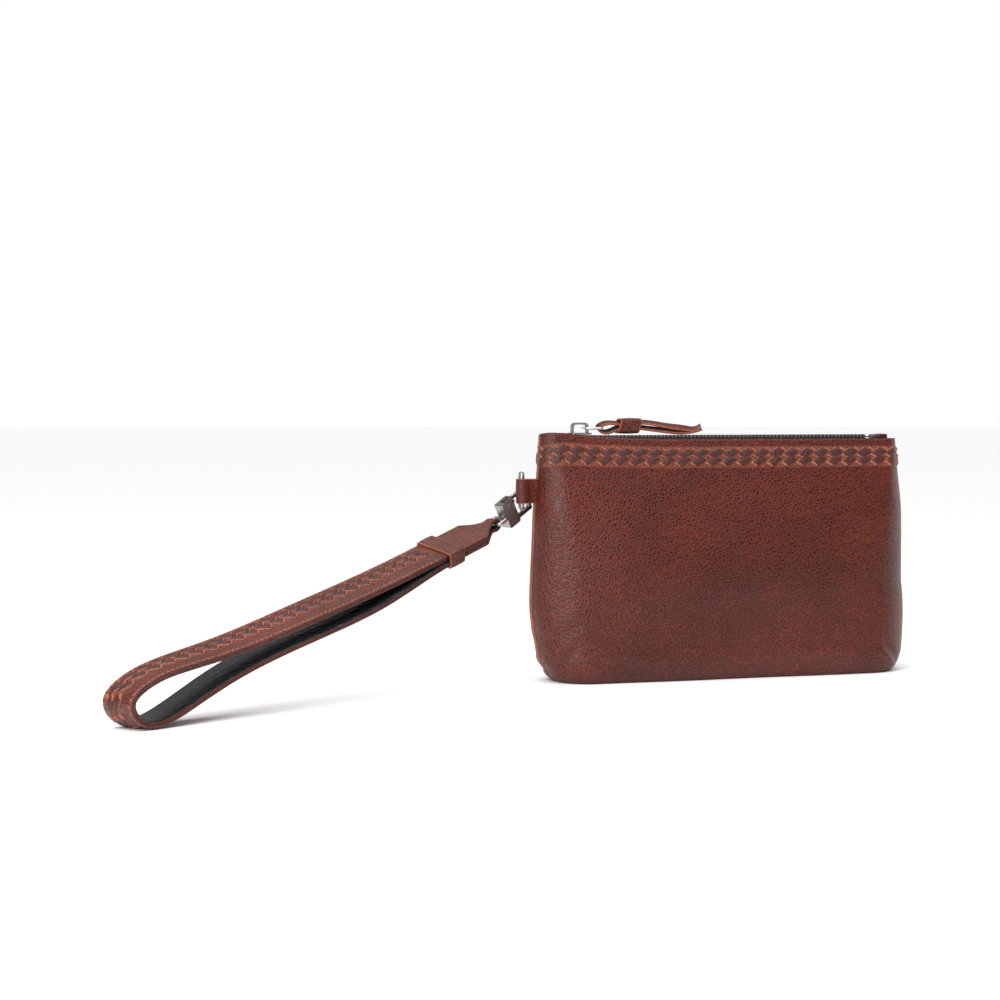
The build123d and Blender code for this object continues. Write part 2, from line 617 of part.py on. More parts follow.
def strap_path():
    """Middle of the strap's layer: down the upper run, round the end of the loop, and back."""
    start_u = (tip_end + 2 * TOUCH) * cos(strap_drop)
    start_v = strap_origin.Z - (tip_end + 2 * TOUCH) * sin(strap_drop)
    off = layer / 2 + 2 * TOUCH
    lift = off * cos(strap_drop)
    lean = off * sin(strap_drop)
    low = layer / 2 + STRAP_LACING + 3 * TOUCH
    reach_u = STRAP_LENGTH - layer / 2
    top = low + LOOP_OPENING - layer

    def run(share, above):
        return between(start_u, reach_u, share), above

    return [
        (start_u + lean, start_v + lift),
        run(0.23, between(start_v, 0, 0.19)),
        run(0.48, between(start_v, 0, 0.41)),
        run(0.73, between(start_v, 0, 0.59)),
        run(0.87, top + 0.12 * LOOP_OPENING),
        run(0.955, top - 0.10 * LOOP_OPENING),
        (reach_u, low + 0.42 * LOOP_OPENING),
        run(0.972, low + 0.07 * LOOP_OPENING),
        run(0.93, low),
        run(0.85, low + 0.18 * LOOP_OPENING),
        run(0.73, between(start_v, 0, 0.785)),
        run(0.50, between(start_v, 0, 0.535)),
        run(0.23, between(start_v, 0, 0.25)),
        (start_u - lean, start_v - lift),
    ]


def strap_run(low, high, half_width, shift=0.0, start=0.0, end=1.0):
    plane = level_strap.offset(shift)
    tangents = [(cos(strap_drop), -sin(strap_drop)), (-cos(strap_drop), sin(strap_drop))]
    return ribbon(strap_path(), low, high, half_width, plane, 160, start, end, tangents)


def keeper():
    """Leather band that holds the tapered end and both layers of the strap together."""
    tall = 2 * (layer + 2 * TOUCH + KEEPER_CLEAR)
    wide = STRAP_WIDTH + 2 * KEEPER_CLEAR
    outside = Box(KEEPER_LENGTH, tall + 2 * KEEPER_WALL, wide + 2 * KEEPER_WALL)
    outside = fillet(outside.edges().filter_by(Axis.X), KEEPER_WALL)
    return Pos(tip_end, 0, 0) * (outside - Box(2 * KEEPER_LENGTH, tall, wide))


core_start = 0.3 * tip_end
tip_core = slab(core_start, tip_end, -TIP_CORE / 2, TIP_CORE / 2, -STRAP_WIDTH, STRAP_WIDTH)
stud_y = -tip_half - TIP_LEATHER / 2 - STUD_HEIGHT / 2 - TOUCH

pieces["strap_tip"] = tip_plane * strap_tip()
pieces["strap_tip_core"] = tip_plane * (tip_core & tip_outline(0.6))
pieces["strap_stud"] = tip_plane * Pos(core_start, stud_y, 0) * Rot(90, 0, 0) * Cylinder(
    STUD_DIAMETER / 2, STUD_HEIGHT
)
pieces["strap_leather"] = strap_run(layer / 2 - STRAP_LEATHER, layer / 2, STRAP_WIDTH / 2)
pieces["strap_lining"] = strap_run(-layer / 2, layer / 2 - STRAP_LEATHER - TOUCH, STRAP_WIDTH / 2)
pieces["strap_lacing"] = strap_run(
    layer / 2 + TOUCH, layer / 2 + STRAP_LACING, LACING_WIDTH / 2, LACING_OFF_CENTRE, 0.02, 0.98
)
pieces["strap_keeper"] = tip_plane * keeper()

# ---- write each piece ------------------------------------------------------------------------------
os.makedirs("parts", exist_ok=True)
for name, shape in pieces.items():
    export_step(shape, f"parts/{name}.step")
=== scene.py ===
"""Zippered leather wristlet pouch: the look of each piece, in metres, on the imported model's frame."""

import json
from math import cos, pi, radians, sin

import bmesh
import bpy
import numpy as np
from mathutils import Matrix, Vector


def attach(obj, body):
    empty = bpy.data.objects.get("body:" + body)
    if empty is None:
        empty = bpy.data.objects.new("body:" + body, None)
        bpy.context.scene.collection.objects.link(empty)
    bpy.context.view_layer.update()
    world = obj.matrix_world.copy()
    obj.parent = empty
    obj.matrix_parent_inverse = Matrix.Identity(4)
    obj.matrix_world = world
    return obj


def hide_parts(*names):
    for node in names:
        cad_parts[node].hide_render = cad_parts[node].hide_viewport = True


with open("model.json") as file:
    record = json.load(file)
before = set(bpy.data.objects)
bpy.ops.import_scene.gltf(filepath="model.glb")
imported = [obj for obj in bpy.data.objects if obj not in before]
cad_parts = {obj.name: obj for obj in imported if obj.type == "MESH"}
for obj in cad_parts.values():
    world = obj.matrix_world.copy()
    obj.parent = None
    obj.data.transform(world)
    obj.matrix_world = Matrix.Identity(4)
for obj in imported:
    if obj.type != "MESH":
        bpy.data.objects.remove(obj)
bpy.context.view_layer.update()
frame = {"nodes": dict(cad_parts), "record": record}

# ---- camera, light and floor ---------------------------------------------------------------------
# Seen from the front and a little from the strap's side, on a white table under soft light that
# comes from above, from the left and, weaker, from the right.
MM = 0.001
scene = bpy.context.scene
scene.view_settings.view_transform = "Standard"

camera_data = bpy.data.cameras.new("camera")
camera_data.lens = 79.2
camera_data.sensor_width = 36.0
camera = bpy.data.objects.new("camera", camera_data)
camera.location = (-0.4805, -1.0955, 0.144)
camera.rotation_euler = (radians(87.64), 0.0, radians(-17.97))
scene.collection.objects.link(camera)
scene.camera = camera


def soft_light(name, place, aim, width, height, power):
    data = bpy.data.lights.new(name, "AREA")
    data.shape = "RECTANGLE"
    data.size, data.size_y, data.energy = width, height, power
    lamp = bpy.data.objects.new(name, data)
    lamp.location = place
    lamp.visible_camera = False
    lamp.rotation_euler = (Vector(aim) - Vector(place)).to_track_quat("-Z", "Y").to_euler()
    scene.collection.objects.link(lamp)


soft_light("light_above", (-0.15, 0.25, 1.3), (0, 0, 0), 1.2, 0.9, 2.5)
soft_light("light_left", (-0.80, -0.85, 0.62), (0, 0, 0.07), 0.75, 0.9, 14.0)
soft_light("light_right", (1.15, 0.3, 0.5), (0, 0, 0.07), 0.5, 0.9, 4.0)

dome_data = bpy.data.lights.new("light_dome", "SUN")
dome_data.angle = radians(75)
dome_data.energy = 2.75
dome = bpy.data.objects.new("light_dome", dome_data)
dome.rotation_euler = (radians(12), radians(-8), 0)
scene.collection.objects.link(dome)

world = bpy.data.worlds.new("studio")
scene.world = world
world.use_nodes = True
air = world.node_tree
backdrop = air.nodes.new("ShaderNodeBackground")
backdrop.inputs["Strength"].default_value = 1.0
backdrop.inputs["Color"].default_value = (1, 1, 1, 1)
fill = air.nodes["Background"]
fill.inputs["Strength"].default_value = 1.0
where = air.nodes.new("ShaderNodeTexCoord")
split = air.nodes.new("ShaderNodeSeparateXYZ")
room = air.nodes.new("ShaderNodeValToRGB")
air.links.new(where.outputs["Generated"], split.inputs[0])
air.links.new(split.outputs["Y"], room.inputs["Fac"])
air.links.new(room.outputs["Color"], fill.inputs["Color"])
room.color_ramp.elements[0].color = (0.13, 0.13, 0.13, 1)
room.color_ramp.elements[1].color = (0.36, 0.36, 0.36, 1)
room.color_ramp.elements[1].position = 0.45
seen = air.nodes.new("ShaderNodeLightPath")
either = air.nodes.new("ShaderNodeMixShader")
air.links.new(seen.outputs["Is Camera Ray"], either.inputs["Fac"])
air.links.new(fill.outputs[0], either.inputs[1])
air.links.new(backdrop.outputs[0], either.inputs[2])
air.links.new(either.outputs[0], air.nodes["World Output"].inputs["Surface"])


def material(name, colour, roughness, metallic=0.0):
    made = bpy.data.materials.new(name)
    made.use_nodes = True
    shader = made.node_tree.nodes["Principled BSDF"]
    shader.inputs["Base Color"].default_value = (*colour, 1.0)
    shader.inputs["Roughness"].default_value = roughness
    shader.inputs["Metallic"].default_value = metallic
    made.diffuse_color = (*colour, 1.0)
    return made, made.node_tree, shader


floor_mesh = bpy.data.meshes.new("floor")
floor_mesh.from_pydata([(-9, -5, 0), (9, -5, 0), (9, 16, 0), (-9, 16, 0)], [], [(0, 1, 2, 3)])
floor = bpy.data.objects.new("floor", floor_mesh)
floor_mesh.materials.append(material("white_table", (0.96, 0.96, 0.96), 0.7)[0])
scene.collection.objects.link(floor)


# ---- front panel and base ------------------------------------------------------------------------
# One cut of pebbled full-grain leather, burnished dark over tan: the front, bent under to make the
# whole base as far as a seam behind the middle. It is sewn to the back panel at both sides.
def node(tree, kind, inputs=(), **settings):
    made = tree.nodes.new(kind if kind.startswith("Geometry") else "ShaderNode" + kind)
    for key, value in settings.items():
        setattr(made, key, value)
    for key, value in dict(inputs).items():
        if hasattr(value, "is_output"):
            tree.links.new(value, made.inputs[key])
        else:
            made.inputs[key].default_value = value
    return made


def ramp(tree, value, *stops):
    made = node(tree, "ValToRGB", {"Fac": value})
    row = made.color_ramp.elements
    for k, (at, colour) in enumerate(stops):
        stop = row[k] if k < 2 else row.new(at)
        stop.position = at
        stop.color = (*colour, 1.0)
    return made.outputs["Color"]


def bump(tree, shader, height, strength, depth):
    made = node(tree, "Bump", {"Height": height, "Strength": strength, "Distance": depth})
    tree.links.new(made.outputs["Normal"], shader.inputs["Normal"])


def leather_material(name, dark, middle, tan, pebble, mottle, roughness):
    """Pebbled leather: dark burnished dots in a net of tan, uneven in large patches."""
    made, tree, shader = material(name, middle, roughness)
    place = node(tree, "TexCoord").outputs["Object"]
    warp = node(tree, "TexNoise", {"Vector": place, "Scale": 260.0, "Detail": 2.0})
    nudge = node(
        tree, "VectorMath", {0: warp.outputs["Color"], "Scale": 0.0006}, operation="SCALE"
    )
    moved = node(tree, "VectorMath", {0: place, 1: nudge.outputs[0]}, operation="ADD").outputs[0]
    cells = node(
        tree, "TexVoronoi", {"Vector": moved, "Scale": pebble}, feature="DISTANCE_TO_EDGE"
    ).outputs["Distance"]
    patches = node(tree, "TexNoise", {"Vector": place, "Scale": 24.0, "Detail": 5.0})
    fine = node(tree, "TexNoise", {"Vector": place, "Scale": 900.0, "Detail": 3.0})
    net = ramp(tree, cells, (0.0, tan), (0.24, dark), (0.11, middle))
    shade = ramp(tree, patches.outputs["Fac"], (0.36, (mottle,) * 3), (0.62, (1.0, 1.0, 1.0)))
    mixed = node(
        tree, "MixRGB", {"Fac": 1.0, "Color1": net, "Color2": shade}, blend_type="MULTIPLY"
    )
    tree.links.new(mixed.outputs["Color"], shader.inputs["Base Color"])
    domes = node(
        tree, "MapRange", {"Value": cells, "From Min": 0.0, "From Max": 0.22}
    ).outputs["Result"]
    grain = node(
        tree, "Math", {0: fine.outputs["Fac"], 1: 0.5, 2: domes}, operation="MULTIPLY_ADD"
    ).outputs[0]
    shader.inputs["Specular IOR Level"].default_value = 0.36
    bump(tree, shader, grain, 0.6, 0.00022)
    return made


LEATHER = leather_material(
    "pebbled_leather",
    (0.039, 0.0046, 0.0030),
    (0.068, 0.0080, 0.0040),
    (0.145, 0.0220, 0.0070),
    620.0,
    0.70,
    0.38,
)

# Height, width and depth of the pouch from the base up, as in the frame, in millimetres.
OUTLINES = np.array(
    [
        (0.0, 188.0, 38.4),
        (3.9, 196.4, 44.2),
        (14.2, 204.8, 48.0),
        (45.3, 212.0, 48.0),
        (84.2, 212.0, 38.4),
        (114.0, 207.8, 22.6),
        (129.5, 206.0, 13.0),
    ]
)
POUCH_HEIGHT = 129.5
THICK = 1.6


def smooth(at, given, values):
    """A curve through the points that never swings past them."""
    step = np.diff(given)
    slope = np.diff(values) / step
    turn = np.zeros(len(given))
    same = slope[1:] * slope[:-1] > 0
    turn[1:-1][same] = 2 * slope[1:][same] * slope[:-1][same] / (slope[1:] + slope[:-1])[same]
    turn[0], turn[-1] = slope[0], slope[-1]
    k = np.clip(np.searchsorted(given, at, side="right") - 1, 0, len(step) - 1)
    t = (at - given[k]) / step[k]
    rise, fall = t * t * (3 - 2 * t), t * t * (t - 1)
    lead = t * (1 - t) ** 2
    return values[k] * (1 - rise) + values[k + 1] * rise + step[k] * (lead * turn[k] + fall * turn[k + 1])


def fuller(height, right):
    """How much wider the leather swells than the plain form at a height, on the right or the left."""
    if right:
        return 1.014 + 0.05 * np.clip(1 - height / 50, 0, 1)
    return 1 + 0.019 * np.exp(-(((height - 38) / 34) ** 2))


def wall(share, height, out, side):
    """Points on the pouch's wall: share runs from the left seam to the right one."""
    half = smooth(height, OUTLINES[:, 0], OUTLINES[:, 1] / 2) + out
    deep = smooth(height, OUTLINES[:, 0], OUTLINES[:, 2] / 2) + out
    corner = 0.92 * deep
    straight = deep - corner
    bend = corner * pi / 2
    total = 2 * (straight + bend + half - corner)
    along = share * total
    near = np.minimum(along, total - along)
    angle = np.clip((near - straight) / corner, 0, pi / 2)
    x = -half + corner * (1 - np.cos(angle)) + np.clip(near - straight - bend, 0, None)
    y = np.minimum(near, straight) + corner * np.sin(angle)
    belly = np.interp(height, [0, 14, 50, 110, 130], [0.0, 0.16, 0.26, 0.12, 0.0])
    y = y * (1 - belly * np.abs(x / half) ** 3)
    x = np.where(share < 0.5, x * fuller(height, False), -x * fuller(height, True))
    dip = 1.4 * np.clip((x + 75) / 40, 0, 1) - 2.2 * np.exp(-(((x + 94) / 12) ** 2))
    dip = dip * np.clip(height / POUCH_HEIGHT, 0, 1) ** 4
    return np.stack([x, side * y, height - dip + 0 * x], axis=-1)


def waves(u, v, scale, seed):
    """Slow uneven swelling between about -1 and 1."""
    dice = np.random.default_rng(seed)
    total = 0 * u
    for _ in range(7):
        turn, phase, size = dice.uniform(0, 2 * pi), dice.uniform(0, 2 * pi), dice.uniform(0.6, 1.7)
        total = total + np.sin((u * cos(turn) + v * sin(turn)) * size / scale + phase)
    return total / 4


def crease(u, v, start, end, width, depth):
    """A soft fold along a line, deepest in the middle of it."""
    (u0, v0), (u1, v1) = start, end
    long = np.hypot(u1 - u0, v1 - v0)
    along = ((u - u0) * (u1 - u0) + (v - v0) * (v1 - v0)) / long
    off = ((v - v0) * (u1 - u0) - (u - u0) * (v1 - v0)) / long
    ends = np.exp(-(((along - long / 2) / (0.42 * long)) ** 4))
    fold = np.exp(-((off / width) ** 2)) - 0.6 * np.exp(-(((off - 1.9 * width) / width) ** 2))
    return depth * ends * fold


def grid_faces(rows, columns, closed=False, first=0):
    """Four-sided faces of a grid of points, joined round its columns when it is closed."""
    r, c = np.meshgrid(np.arange(rows - 1), np.arange(columns - (not closed)), indexing="ij")
    d = (c + 1) % columns
    quads = np.stack([r * columns + c, r * columns + d, (r + 1) * columns + d, (r + 1) * columns + c], -1)
    return (quads.reshape(-1, 4) + first).tolist()


def piece(name, points, faces, finish, slot, body, nodes, index=None, thick=None, outward=True):
    """A named object from points in millimetres, riding on a body in the place of CAD nodes."""
    mesh = bpy.data.meshes.new(name)
    mesh.from_pydata((np.asarray(points).reshape(-1, 3) * MM).tolist(), [], faces)
    for one in finish if isinstance(finish, (list, tuple)) else [finish]:
        mesh.materials.append(one)
    if index is not None:
        mesh.polygons.foreach_set("material_index", index)
    if outward:
        work = bmesh.new()
        work.from_mesh(mesh)
        bmesh.ops.recalc_face_normals(work, faces=work.faces)
        work.to_mesh(mesh)
        work.free()
    mesh.polygons.foreach_set("use_smooth", [True] * len(mesh.polygons))
    mesh.set_sharp_from_angle(angle=radians(50))
    obj = bpy.data.objects.new(name, mesh)
    scene.collection.objects.link(obj)
    if thick:
        skin = obj.modifiers.new("thickness", "SOLIDIFY")
        skin.thickness = thick * MM
        skin.offset = -1
    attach(obj, body)
    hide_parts(*nodes)
    return obj


COLUMNS = 250
shares = np.linspace(0, 1, COLUMNS)
heights = np.concatenate([np.linspace(POUCH_HEIGHT, 16, 96), np.linspace(15, 0, 22)])
across, up = np.meshgrid(shares, heights)


def panel_relief(points, seed):
    """How far the leather stands in or out of the plain form: slow swelling and a few folds."""
    x, z = points[..., 0], points[..., 2]
    free = np.clip((108 - z) / 40, 0, 1) * np.clip((106.0 - np.abs(x)) / 14, 0, 1)
    swell = 0.55 * waves(x, z, 17.0, seed) * free
    left = crease(x, z, (-104, 2), (-88, 22), 2.2, 0.9) + crease(x, z, (-106, 20), (-84, 34), 3.0, 0.5)
    right = crease(x, z, (102, 4), (86, 20), 2.4, 0.7)
    low = crease(x, z, (-82, 12), (-50, 6), 3.0, 0.45) + crease(x, z, (20, 9), (64, 6), 3.0, 0.35)
    return swell - left - right - low


def panel_wall(side, seed):
    """A panel's rows of points, from its top edge down: front on side -1, back on side 1."""
    flat = wall(across, up, 0.0, side)
    relief = panel_relief(flat, seed)
    return wall(across, up, relief, side)


BASE_SEAM = 12.0
front = panel_wall(-1, 4)
under_share = np.linspace(0, 1, 26)[1:, None]
rim = front[-1]
under = np.stack(
    [
        rim[None, :, 0] * (1 - 0.036 * under_share),
        rim[None, :, 1] * (1 - under_share) + BASE_SEAM * under_share,
        0.35 * np.sin(pi * under_share) + 0 * rim[None, :, 0],
    ],
    axis=-1,
)
front_points = np.concatenate([front, under])[:, ::-1]
piece(
    "front_panel_leather", front_points, grid_faces(len(front_points), COLUMNS), LEATHER, "leather",
    "pouch", ["front_panel"], thick=THICK, outward=False,
)

# ---- back panel ----------------------------------------------------------------------------------
# The same leather in one plain cut, from the top edge down and a little way under the base, where it
# is sewn to the front panel's end in a flat seam. It is sewn to the front at both sides too.
back = panel_wall(1, 9)
rim = back[-1]
tuck = np.linspace(0, 1, 8)[1:, None]
under = np.stack(
    [
        rim[None, :, 0] * (1 - 0.03 * tuck),
        rim[None, :, 1] * (1 - tuck) + np.minimum(rim[None, :, 1], BASE_SEAM + 0.2) * tuck,
        0.2 * np.sin(pi * tuck) + 0 * rim[None, :, 0],
    ],
    axis=-1,
)
back_points = np.concatenate([back, under])
piece(
    "back_panel_leather", back_points, grid_faces(len(back_points), COLUMNS), LEATHER, "leather",
    "pouch", ["back_panel"], thick=THICK, outward=False,
)


# ---- seam bindings -------------------------------------------------------------------------------
# The side seams are finished with a narrow rolled edge of tan leather, glued and stitched over the
# two raw edges. On the left it is broken where the ring's tab comes through.
TAN = leather_material(
    "tan_edge", (0.17, 0.042, 0.018), (0.26, 0.068, 0.030), (0.36, 0.11, 0.05), 900.0, 0.7, 0.38
)


def swept(rows, first=0):
    """Faces of a closed section swept along rows, with a cap at each end."""
    count, columns = rows.shape[:2]
    faces = grid_faces(count, columns, True, first)
    faces.append([first + k for k in reversed(range(columns))])
    faces.append([first + (count - 1) * columns + k for k in range(columns)])
    return faces


def binding(side, spans):
    """The rolled edge on one side, over each span of heights."""
    points, faces = [], []
    for low, high in spans:
        z = np.linspace(low, high, int(high - low) + 2)[:, None]
        half = smooth(z, OUTLINES[:, 0], OUTLINES[:, 1] / 2)
        turn = np.linspace(-0.62 * pi, 0.62 * pi, 11)[None, :]
        x = side * fuller(z, side > 0) * (half + 0.95 * np.cos(turn) - 0.1)
        rows = np.stack([x, 1.05 * np.sin(turn) + 0 * z, z + 0 * turn], -1)
        faces += swept(rows, sum(len(p) for p in points))
        points.append(rows.reshape(-1, 3))
    return np.concatenate(points), faces


TAB_LOW, TAB_HIGH = 94.5, 107.5
piece(
    "left_binding", *binding(-1, [(7.8, TAB_LOW - 0.2), (TAB_HIGH + 0.2, 130.2)]), TAN, "raw_edge",
    "pouch", ["left_seam_binding"],
)
piece(
    "right_binding", *binding(1, [(7.8, 128.0)]), TAN, "raw_edge", "pouch", ["right_seam_binding"]
)


# ---- laced bands on the pouch --------------------------------------------------------------------
# A flat leather lace braided through slits round the top of the pouch: two rows of dark slanting
# segments with tan cut edges, and at each slit a short pale dash that is a painted highlight.
DARK_LACE = leather_material(
    "dark_lace", (0.040, 0.0105, 0.0085), (0.058, 0.0150, 0.0115), (0.085, 0.022, 0.015), 700.0, 0.8, 0.36
)
# Pale lace: the real tan cut edges of the lace, and the painted highlights of the short dashes at the slits.
PALE_LACE_AND_PAINTED_HIGHLIGHT = leather_material(
    "tan_lace_and_painted_highlight", (0.20, 0.050, 0.022), (0.28, 0.075, 0.034), (0.40, 0.13, 0.07), 900.0, 0.8, 0.36
)
BETWEEN_LACES = leather_material(
    "leather_under_lace", (0.085, 0.018, 0.010), (0.14, 0.030, 0.014), (0.22, 0.048, 0.02), 900.0, 0.8, 0.45
)


def lozenge(centre, way, cross, low, high, rim):
    """A domed slanting plate: points (along, across, out), faces and which of them are its edge."""
    at = np.array([-1, -0.999, -0.6, -0.2, 0.2, 0.6, 0.999, 1])
    a, b = np.meshgrid(at, at)
    body = (1 - a**4) * (1 - b**4)
    ring = (np.abs(a) == 1) | (np.abs(b) == 1)
    a_size = np.where(np.abs(a) == 1, 1 + rim / np.hypot(*way), 1.0)
    b_size = np.where(np.abs(b) == 1, 1 + rim / np.hypot(*cross), 1.0)
    cut = 1 - 0.07 * (a * b) ** 2
    u = centre[0] + cut * (a * a_size * way[0] + b * b_size * cross[0])
    v = centre[1] + cut * (a * a_size * way[1] + b * b_size * cross[1])
    out = np.where(ring, low, low + (high - low) * (0.50 + 0.50 * body))
    inner_ring = ring[:-1, :-1] | ring[1:, :-1] | ring[:-1, 1:] | ring[1:, 1:]
    return np.stack([u, v, out], -1).reshape(-1, 3), a.shape, inner_ring.reshape(-1)


def repeat_tree(name, dark, light):
    """Geometry nodes that repeat a stitch along a line, without the ones cut off at its ends."""
    tree = bpy.data.node_groups.new(name, "GeometryNodeTree")
    sockets = {"Stitch": "Geometry", "Count": "Int", "Pitch": "Float", "Length": "Float", "Margin": "Float"}
    for label, kind in sockets.items():
        tree.interface.new_socket(label, in_out="INPUT", socket_type="NodeSocket" + kind)
    tree.interface.new_socket("Row", in_out="OUTPUT", socket_type="NodeSocketGeometry")
    given = tree.nodes.new("NodeGroupInput").outputs
    half = node(tree, "Math", {0: given["Pitch"], 1: 0.5}, operation="MULTIPLY").outputs[0]
    first = node(tree, "CombineXYZ", {"X": half}).outputs[0]
    step = node(tree, "CombineXYZ", {"X": given["Pitch"]}).outputs[0]
    line = node(
        tree, "GeometryNodeMeshLine", {"Count": given["Count"], "Start Location": first, "Offset": step}
    ).outputs[0]
    at = node(tree, "GeometryNodeInputPosition").outputs[0]
    stitch_at = node(tree, "SeparateXYZ", {0: at}).outputs["X"]
    marked = node(
        tree, "GeometryNodeStoreNamedAttribute", {"Geometry": line, "Name": "stitch_at", "Value": stitch_at}
    ).outputs[0]
    copies = node(tree, "GeometryNodeInstanceOnPoints", {"Points": marked, "Instance": given["Stitch"]})
    real = node(tree, "GeometryNodeRealizeInstances", {"Geometry": copies.outputs[0]}).outputs[0]
    kept = []
    for label in ("stitch_at", "tile_at"):
        kept.append(node(tree, "GeometryNodeInputNamedAttribute", {"Name": label}).outputs["Attribute"])
    middle = node(tree, "Math", {0: kept[0], 1: kept[1]}).outputs[0]
    end = node(tree, "Math", {0: given["Length"], 1: given["Margin"]}, operation="SUBTRACT").outputs[0]
    before = node(tree, "Math", {0: middle, 1: given["Margin"]}, operation="LESS_THAN").outputs[0]
    after = node(tree, "Math", {0: middle, 1: end}, operation="GREATER_THAN").outputs[0]
    cut_off = node(tree, "Math", {0: before, 1: after}, operation="MAXIMUM").outputs[0]
    whole = node(tree, "GeometryNodeDeleteGeometry", {"Geometry": real, "Selection": cut_off}).outputs[0]
    all_dark = node(tree, "GeometryNodeSetMaterial", {"Geometry": whole, "Material": dark}).outputs[0]
    # Faces marked pale get the pale lace: tan cut edges, and the painted highlights of the dashes.
    pale = node(
        tree, "GeometryNodeInputNamedAttribute", {"Name": "pale"}, data_type="BOOLEAN"
    ).outputs["Attribute"]
    done = node(
        tree, "GeometryNodeSetMaterial", {"Geometry": all_dark, "Selection": pale, "Material": light}
    ).outputs[0]
    tree.links.new(done, tree.nodes.new("NodeGroupOutput").inputs[0])
    return tree


LACE_ROW = repeat_tree("lace_row", DARK_LACE, PALE_LACE_AND_PAINTED_HIGHLIGHT)
LACE_MARGIN = 2.8


def repeated(tiles, pitch, length, margin):
    """Repeats a stitch, made of tiles, along a length: points, faces, and each face's lace, 1 or 2."""
    points = np.concatenate([rows for rows, _, _, _ in tiles])
    starts = np.cumsum([0] + [len(rows) for rows, _, _, _ in tiles])
    stitch = bpy.data.meshes.new("stitch")
    faces = []
    for (_, shape, _, _), first in zip(tiles, starts):
        faces += grid_faces(*shape, first=int(first))
    stitch.from_pydata(points.tolist(), [], faces)
    tile_at = np.concatenate([np.full(len(rows), middle) for rows, _, _, middle in tiles])
    stitch.attributes.new("tile_at", "FLOAT", "POINT").data.foreach_set("value", tile_at.astype(np.float32))
    pale = [bool(one) for _, _, light, _ in tiles for one in light]
    stitch.attributes.new("pale", "BOOLEAN", "FACE").data.foreach_set("value", pale)
    row = bpy.data.objects.new("stitch", stitch)
    scene.collection.objects.link(row)
    along = row.modifiers.new("repeat", "NODES")
    along.node_group = LACE_ROW
    values = {"Count": int(round(length / pitch)), "Pitch": pitch, "Length": length, "Margin": margin}
    for socket in LACE_ROW.interface.items_tree:
        if socket.name in values:
            along[socket.identifier] = values[socket.name]
    seen = row.evaluated_get(bpy.context.evaluated_depsgraph_get())
    flat = bpy.data.meshes.new_from_object(seen)
    placed = np.array([v.co[:] for v in flat.vertices])
    faces = [list(face.vertices) for face in flat.polygons]
    index = [2 if flat.materials[face.material_index] == PALE_LACE_AND_PAINTED_HIGHLIGHT else 1 for face in flat.polygons]
    bpy.data.objects.remove(row)
    bpy.data.meshes.remove(stitch)
    bpy.data.meshes.remove(flat)
    return placed, faces, index


def braid(length, pitch, width, low, high):
    """A run of braid lying flat: points (along, across, out), faces and lace of each face."""
    pitch = length / int(round(length / pitch))
    p, w = pitch / 8.6, width / 11.0
    tiles = []
    # Kind 1 tiles are dark lace segments with tan cut edges; kind 2 tiles are the short pale dashes at the
    # slits, painted highlights.
    for centre, way, cross, lift, kind in (
        ((2.2 * p, 2.15 * w), (3.05 * p, 1.45 * w), (1.95 * p, -1.20 * w), 0.0, 1),
        ((0.3 * p, -2.1 * w), (2.85 * p, 2.0 * w), (2.1 * p, -0.95 * w), 0.0, 1),
        ((-1.3 * p, 3.85 * w), (1.10 * p, -0.75 * w), (0.22, 0.30), 0.10, 2),
        ((-1.5 * p, 0.30 * w), (1.40 * p, -0.70 * w), (0.18, 0.30), 0.30, 2),
        ((-2.7 * p, -3.6 * w), (1.25 * p, -0.85 * w), (0.30, 0.42), 0.20, 2),
    ):
        top = low + (high - low) * (0.85 + lift)
        rows, shape, edge = lozenge(centre, way, cross, low, top, 0.22 if kind == 1 else 0.12)
        tiles.append((rows, shape, [kind == 2 or on_edge for on_edge in edge], centre[0]))
    return repeated(tiles, pitch, length, LACE_MARGIN)


BAND_MIDDLE, BAND_HEIGHT, BAND_LENGTH, BAND_PITCH = 119.4, 11.8, 217.0, 8.6


def band_place(rows, side, mirrored):
    """From the flat braid to the pouch's wall; the band hangs a little lower at the left end."""
    share = rows[..., 0] / BAND_LENGTH
    z = BAND_MIDDLE + rows[..., 1] - 1.1 * np.exp(-((rows[..., 0] / 16) ** 2))
    return wall(0.003 + 0.994 * (1 - share if mirrored else share), z, rows[..., 2], side)


def on_strip(length, width, shape, low, crown, laces):
    """Lays the laces' points, faces and laces on a thin strip of leather as long as they are."""
    across_count, along_count = shape
    u, v = np.meshgrid(np.linspace(0, length, along_count), np.linspace(-0.5, 0.5, across_count) * width)
    strip = np.stack([u, v, low + crown * (1 - (np.abs(v) / (width / 2)) ** 6)], -1).reshape(-1, 3)
    points, faces, index = laces
    faces = grid_faces(across_count, along_count) + [[k + len(strip) for k in face] for face in faces]
    index = [0] * ((across_count - 1) * (along_count - 1)) + index
    return np.concatenate([strip, points]), faces, index


def band(side):
    """The laced band round the front, on side -1, or the back, on side 1."""
    laces = braid(BAND_LENGTH, BAND_PITCH, BAND_HEIGHT, 0.22, 0.98)
    rows, faces, index = on_strip(BAND_LENGTH, BAND_HEIGHT, (9, 200), 0.05, 0.30, laces)
    return band_place(rows, side, side > 0), faces, index


for side, name in ((-1, "front"), (1, "back")):
    points, faces, index = band(side)
    piece(
        name + "_laced_band", points, faces, [BETWEEN_LACES, DARK_LACE, PALE_LACE_AND_PAINTED_HIGHLIGHT], "dark_lacing",
        "pouch", [name + "_lacing"], index=index, outward=False,
    )


